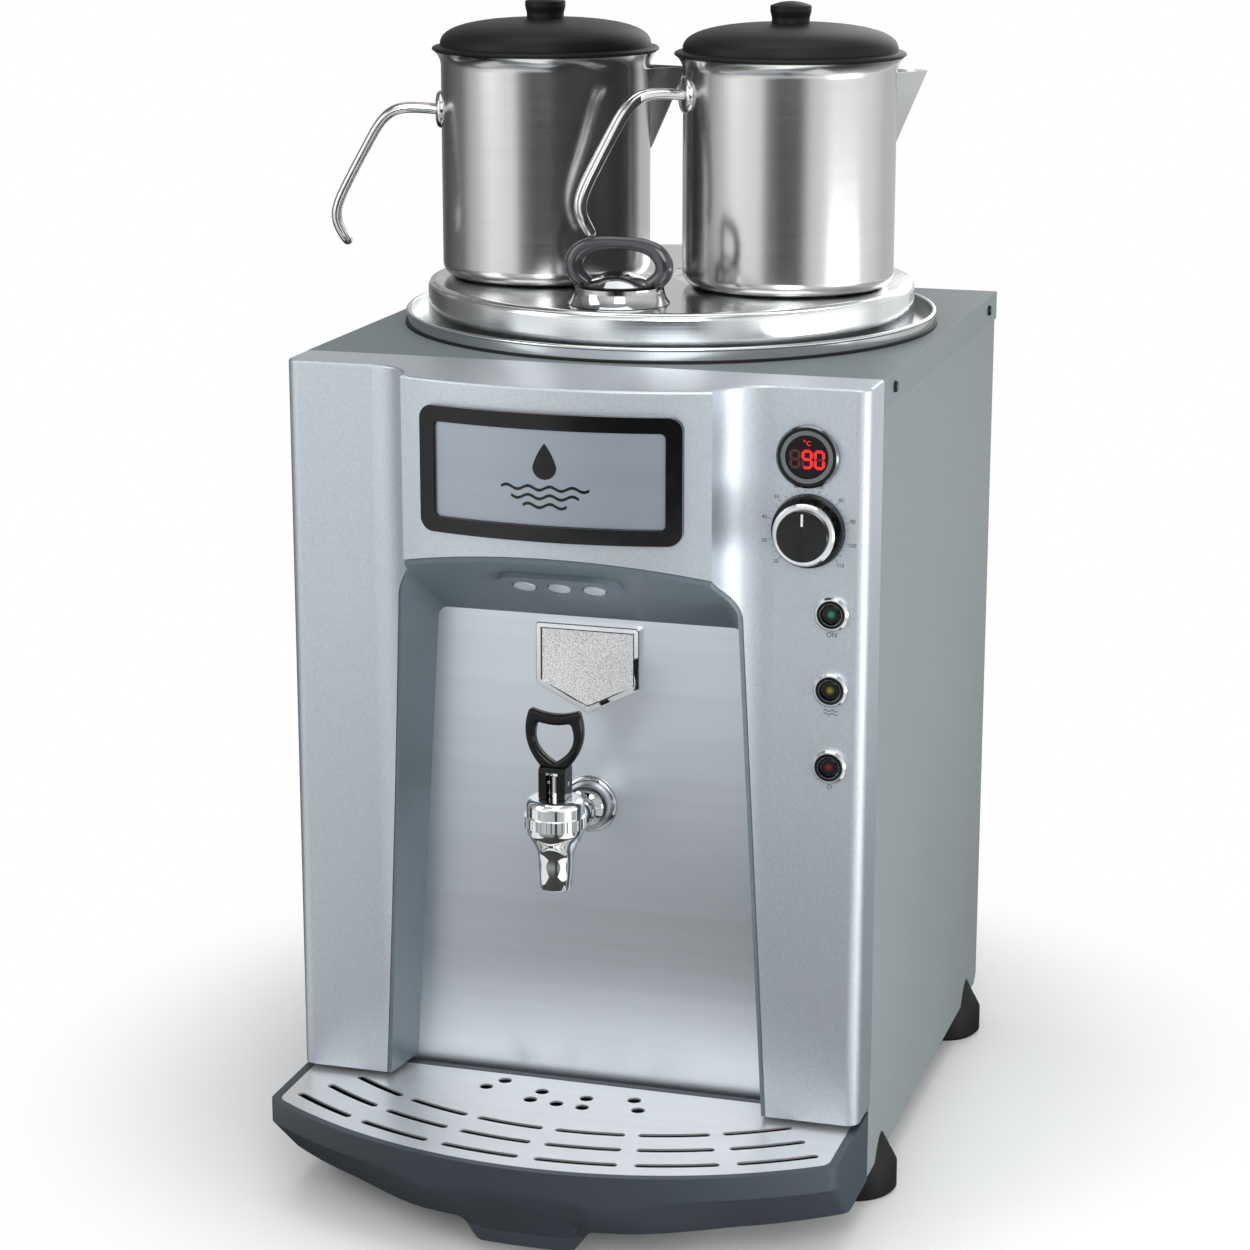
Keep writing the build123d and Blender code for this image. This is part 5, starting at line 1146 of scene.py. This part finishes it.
# in from the rim and up from the seat, in millimetres
ROLLED_RIM = ((3.4, 2.75), (1.2, 2.5), (0.3, 1.9), (0, 1.2), (0.3, 0.5), (1.2, 0))
for side in ("left", "right"):
    low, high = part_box(side + "_teapot_lid")
    lid_middle = middle_of(side + "_teapot_lid")
    rim = half_width(side + "_teapot_lid")
    seat = low.z + lip_depth
    lip = rim - lip_inset
    outline = dome(rim - shoulder_inset, high.z - seat - rim_thick, seat + rim_thick)
    outline += [(rim - inwards * mm, seat + up * mm) for inwards, up in ROLLED_RIM]
    outline += [(lip, seat), (lip, low.z), (lip - lid_wall, low.z)]
    outline += reversed(dome(lip - lid_wall, high.z - seat - 2 * lid_wall, seat + lid_wall / 2))
    lid = turned(side + "_pot_lid_dome", outline, (lid_middle.x, lid_middle.y, 0))
    settle(lid, side + "_pot_lid", lid_black)
    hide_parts(side + "_teapot_lid")

# %% [markdown]
# A teapot's handle is one steel rod, bent double: it leaves a round boss, runs out and down side by side
# with itself, and turns back at its lower end. The profile is written as distances out from the pot's axis
# and up from the boss, and is gone through twice, once on each side. The boss is turned about the handle's
# own heading.

# %% Teapot handles
pot_radius, rod_radius, rod_apart = 65 * mm, 3 * mm, 4.1 * mm
# out from the axis and up, in millimetres
HANDLE_PROFILE = (
    (66, 0), (81, 1.4), (97.5, 2.6), (109.8, -19), (121.6, -40.5), (133.0, -62), (130, -73), (124.5, -81.5),
)
BOSS_OUTLINE = ((0, 3.5), (7, 3.4), (9.6, 2.9), (11, 1.8), (11.5, 0.5), (11.5, -0.9), (0, -0.9))
boss_outline = [(out * mm, up * mm) for out, up in BOSS_OUTLINE]
HANDLES = {"left": (198, 103), "right": (211, 117)}  # heading in degrees, height of the boss in millimetres
for side, (heading_angle, boss_up) in HANDLES.items():
    axis = middle_of(side + "_teapot_lid")
    heading = math.radians(heading_angle)
    outwards = Vector((math.cos(heading), math.sin(heading), 0))
    sideways = Vector((-math.sin(heading), math.cos(heading), 0)) * rod_apart
    boss = Vector((axis.x, axis.y, foot_of(side + "_teapot_body") + boss_up * mm))
    there = [boss + outwards * out * mm + UPWARD * up * mm + sideways for out, up in HANDLE_PROFILE]
    back = [place - 2 * sideways for place in reversed(there)]
    bent = rod(side + "_rod", there + back, [rod_radius] * (2 * len(there)))
    disc = turned(side + "_boss", boss_outline, boss + outwards * pot_radius, outwards, steps=64)
    handle = join(side + "_pot_handle", [bent, disc])
    settle(handle, side + "_pot", rod_steel)
    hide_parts(side + "_teapot_handle")

# %% [markdown]
# The grip of the filler cap is a moulded loop, thick at its sides and slimmer on top, and flatter from
# front to back than it is wide. It is a bent rod with a radius for each point, pressed flat by a scale in
# Y.

# %% Filler grip
grip_foot = foot_of("filler_cap_grip")
grip_flatness = 0.76
# across, up and radius in millimetres, from one foot to the top
HALF_LOOP = (
    (-17, -1.0, 4.4), (-24, 2.5, 5.0), (-30, 9.5, 5.8), (-26, 20.0, 5.4), (-14, 25.0, 4.2), (0, 25.2, 3.7),
)
loop = list(HALF_LOOP) + [(-x, z, thick) for x, z, thick in reversed(HALF_LOOP[:-1])]
loop_places = [(x * mm, 0, grip_foot + z * mm) for x, z, thick in loop]
grip = rod("filler_grip_loop", loop_places, [thick * mm for x, z, thick in loop])
grip.scale.y = grip_flatness
grip.location.y = cap_y
grip = join("filler_grip_loop", [grip])
settle(grip, "filler", smoky_grip)
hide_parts("filler_cap_grip")

# %% [markdown]
# The tap's body is turned brass under chrome. It narrows from the wide head to the spout in one smooth
# sweep, which a smooth step over the height gives. The chamber inside leaves room for the valve, and the
# shank behind it is a plain tube. Where the shank meets the steel, a deep stepped rosette covers the hole.

# %% Tap body
tap_low, tap_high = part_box("tap_body")
tap_y = middle_of("tap_bonnet").y
tap_tall = tap_high.z - tap_low.z
shank_z = 243 * mm
head_radius, neck_radius, spout_radius = 17.0 * mm, 10.2 * mm, 9.7 * mm
bore_radius, chamber_radius = 6.5 * mm, 11 * mm
neck_up, head_up, seat_up = 14 * mm, 36 * mm, 24 * mm
sweep_steps, sweep_power = 14, 1.5
tap_outline = [(bore_radius, 0), (spout_radius - 0.4 * mm, 0), (spout_radius, 0.6 * mm)]
for step in range(sweep_steps + 1):
    share_up = step / sweep_steps
    sweep = neck_radius + (head_radius - neck_radius) * eased(share_up ** sweep_power)
    tap_outline.append((sweep, neck_up + (head_up - neck_up) * share_up))
tap_outline += [
    (head_radius, tap_tall), (chamber_radius, tap_tall), (chamber_radius, seat_up), (bore_radius, seat_up),
]
tap_turned = turned("tap_turned", tap_outline, (0, tap_y, tap_low.z))
shank_radius, shank_bore, shank_start, shank_edge = 6.5 * mm, 4.0 * mm, 13 * mm, 0.6 * mm
shank_length = tap_high.y - tap_y - shank_start
shank_outline = (
    (shank_bore, 0), (shank_radius, 0), (shank_radius, shank_length - shank_edge),
    (shank_radius - shank_edge, shank_length), (shank_bore, shank_length),
)
shank = turned("tap_shank", shank_outline, (0, tap_y + shank_start, shank_z), -FORWARD, steps=64)
tap = join("tap_casting", [tap_turned, shank])
settle(tap, "cabinet", chrome)
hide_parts("tap_body")

# %% Tap rosette
# radius, and distance from the recess's back, in millimetres
ROSETTE_OUTLINE = (
    (6.6, 0), (17.5, 0), (17.5, 1.2), (16.9, 2.0), (15.4, 2.5), (15.0, 3.2), (14.9, 5.0), (14.3, 7.6),
    (12.8, 10.4), (10.4, 12.6), (8.4, 13.6), (7.9, 14.2), (7.8, 16.0), (6.6, 16.2),
)
rosette_outline = [(out * mm, up * mm) for out, up in ROSETTE_OUTLINE]
rosette_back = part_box("tap_rosette")[1].y
rosette = turned("tap_rosette_cup", rosette_outline, (0, rosette_back, shank_z), FORWARD)
# The rosette's chrome is darker than the tap's: painted shade for the dark that it mirrors
settle(rosette, "cabinet", smudged("rosette_shaded_chrome", (0.42, 0.425, 0.43), (0.02, 0.06)))
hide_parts("tap_rosette")

# %% [markdown]
# Inside the tap a coil spring presses the valve shut. When the lever lifts the valve, the spring gets
# shorter by the valve's way, from below. A moving solid can't show that. The coil is wound again here as a
# bent rod, which stands in for the solid.

# %% Valve spring
spring_low, spring_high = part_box("valve_spring")
spring_length = spring_high.z - spring_low.z
wire, spring_turns, points_per_turn, valve_way = 0.6 * mm, 4, 16, 4.5 * mm
coil_radius = half_width("valve_spring") - wire
coil_steps = spring_turns * points_per_turn
coil_climb = (spring_length - 2 * wire) / coil_steps
coil = []
for step in range(coil_steps + 1):
    turn = 2 * math.pi * step / points_per_turn
    out = Vector((math.cos(turn), math.sin(turn), 0)) * coil_radius
    coil.append(Vector((0, tap_y, spring_low.z + wire + step * coil_climb)) + out)
spring = rod("valve_coil", coil, [wire] * len(coil))
settle(spring, "cabinet", rod_steel)
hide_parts("valve_spring")
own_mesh(spring)
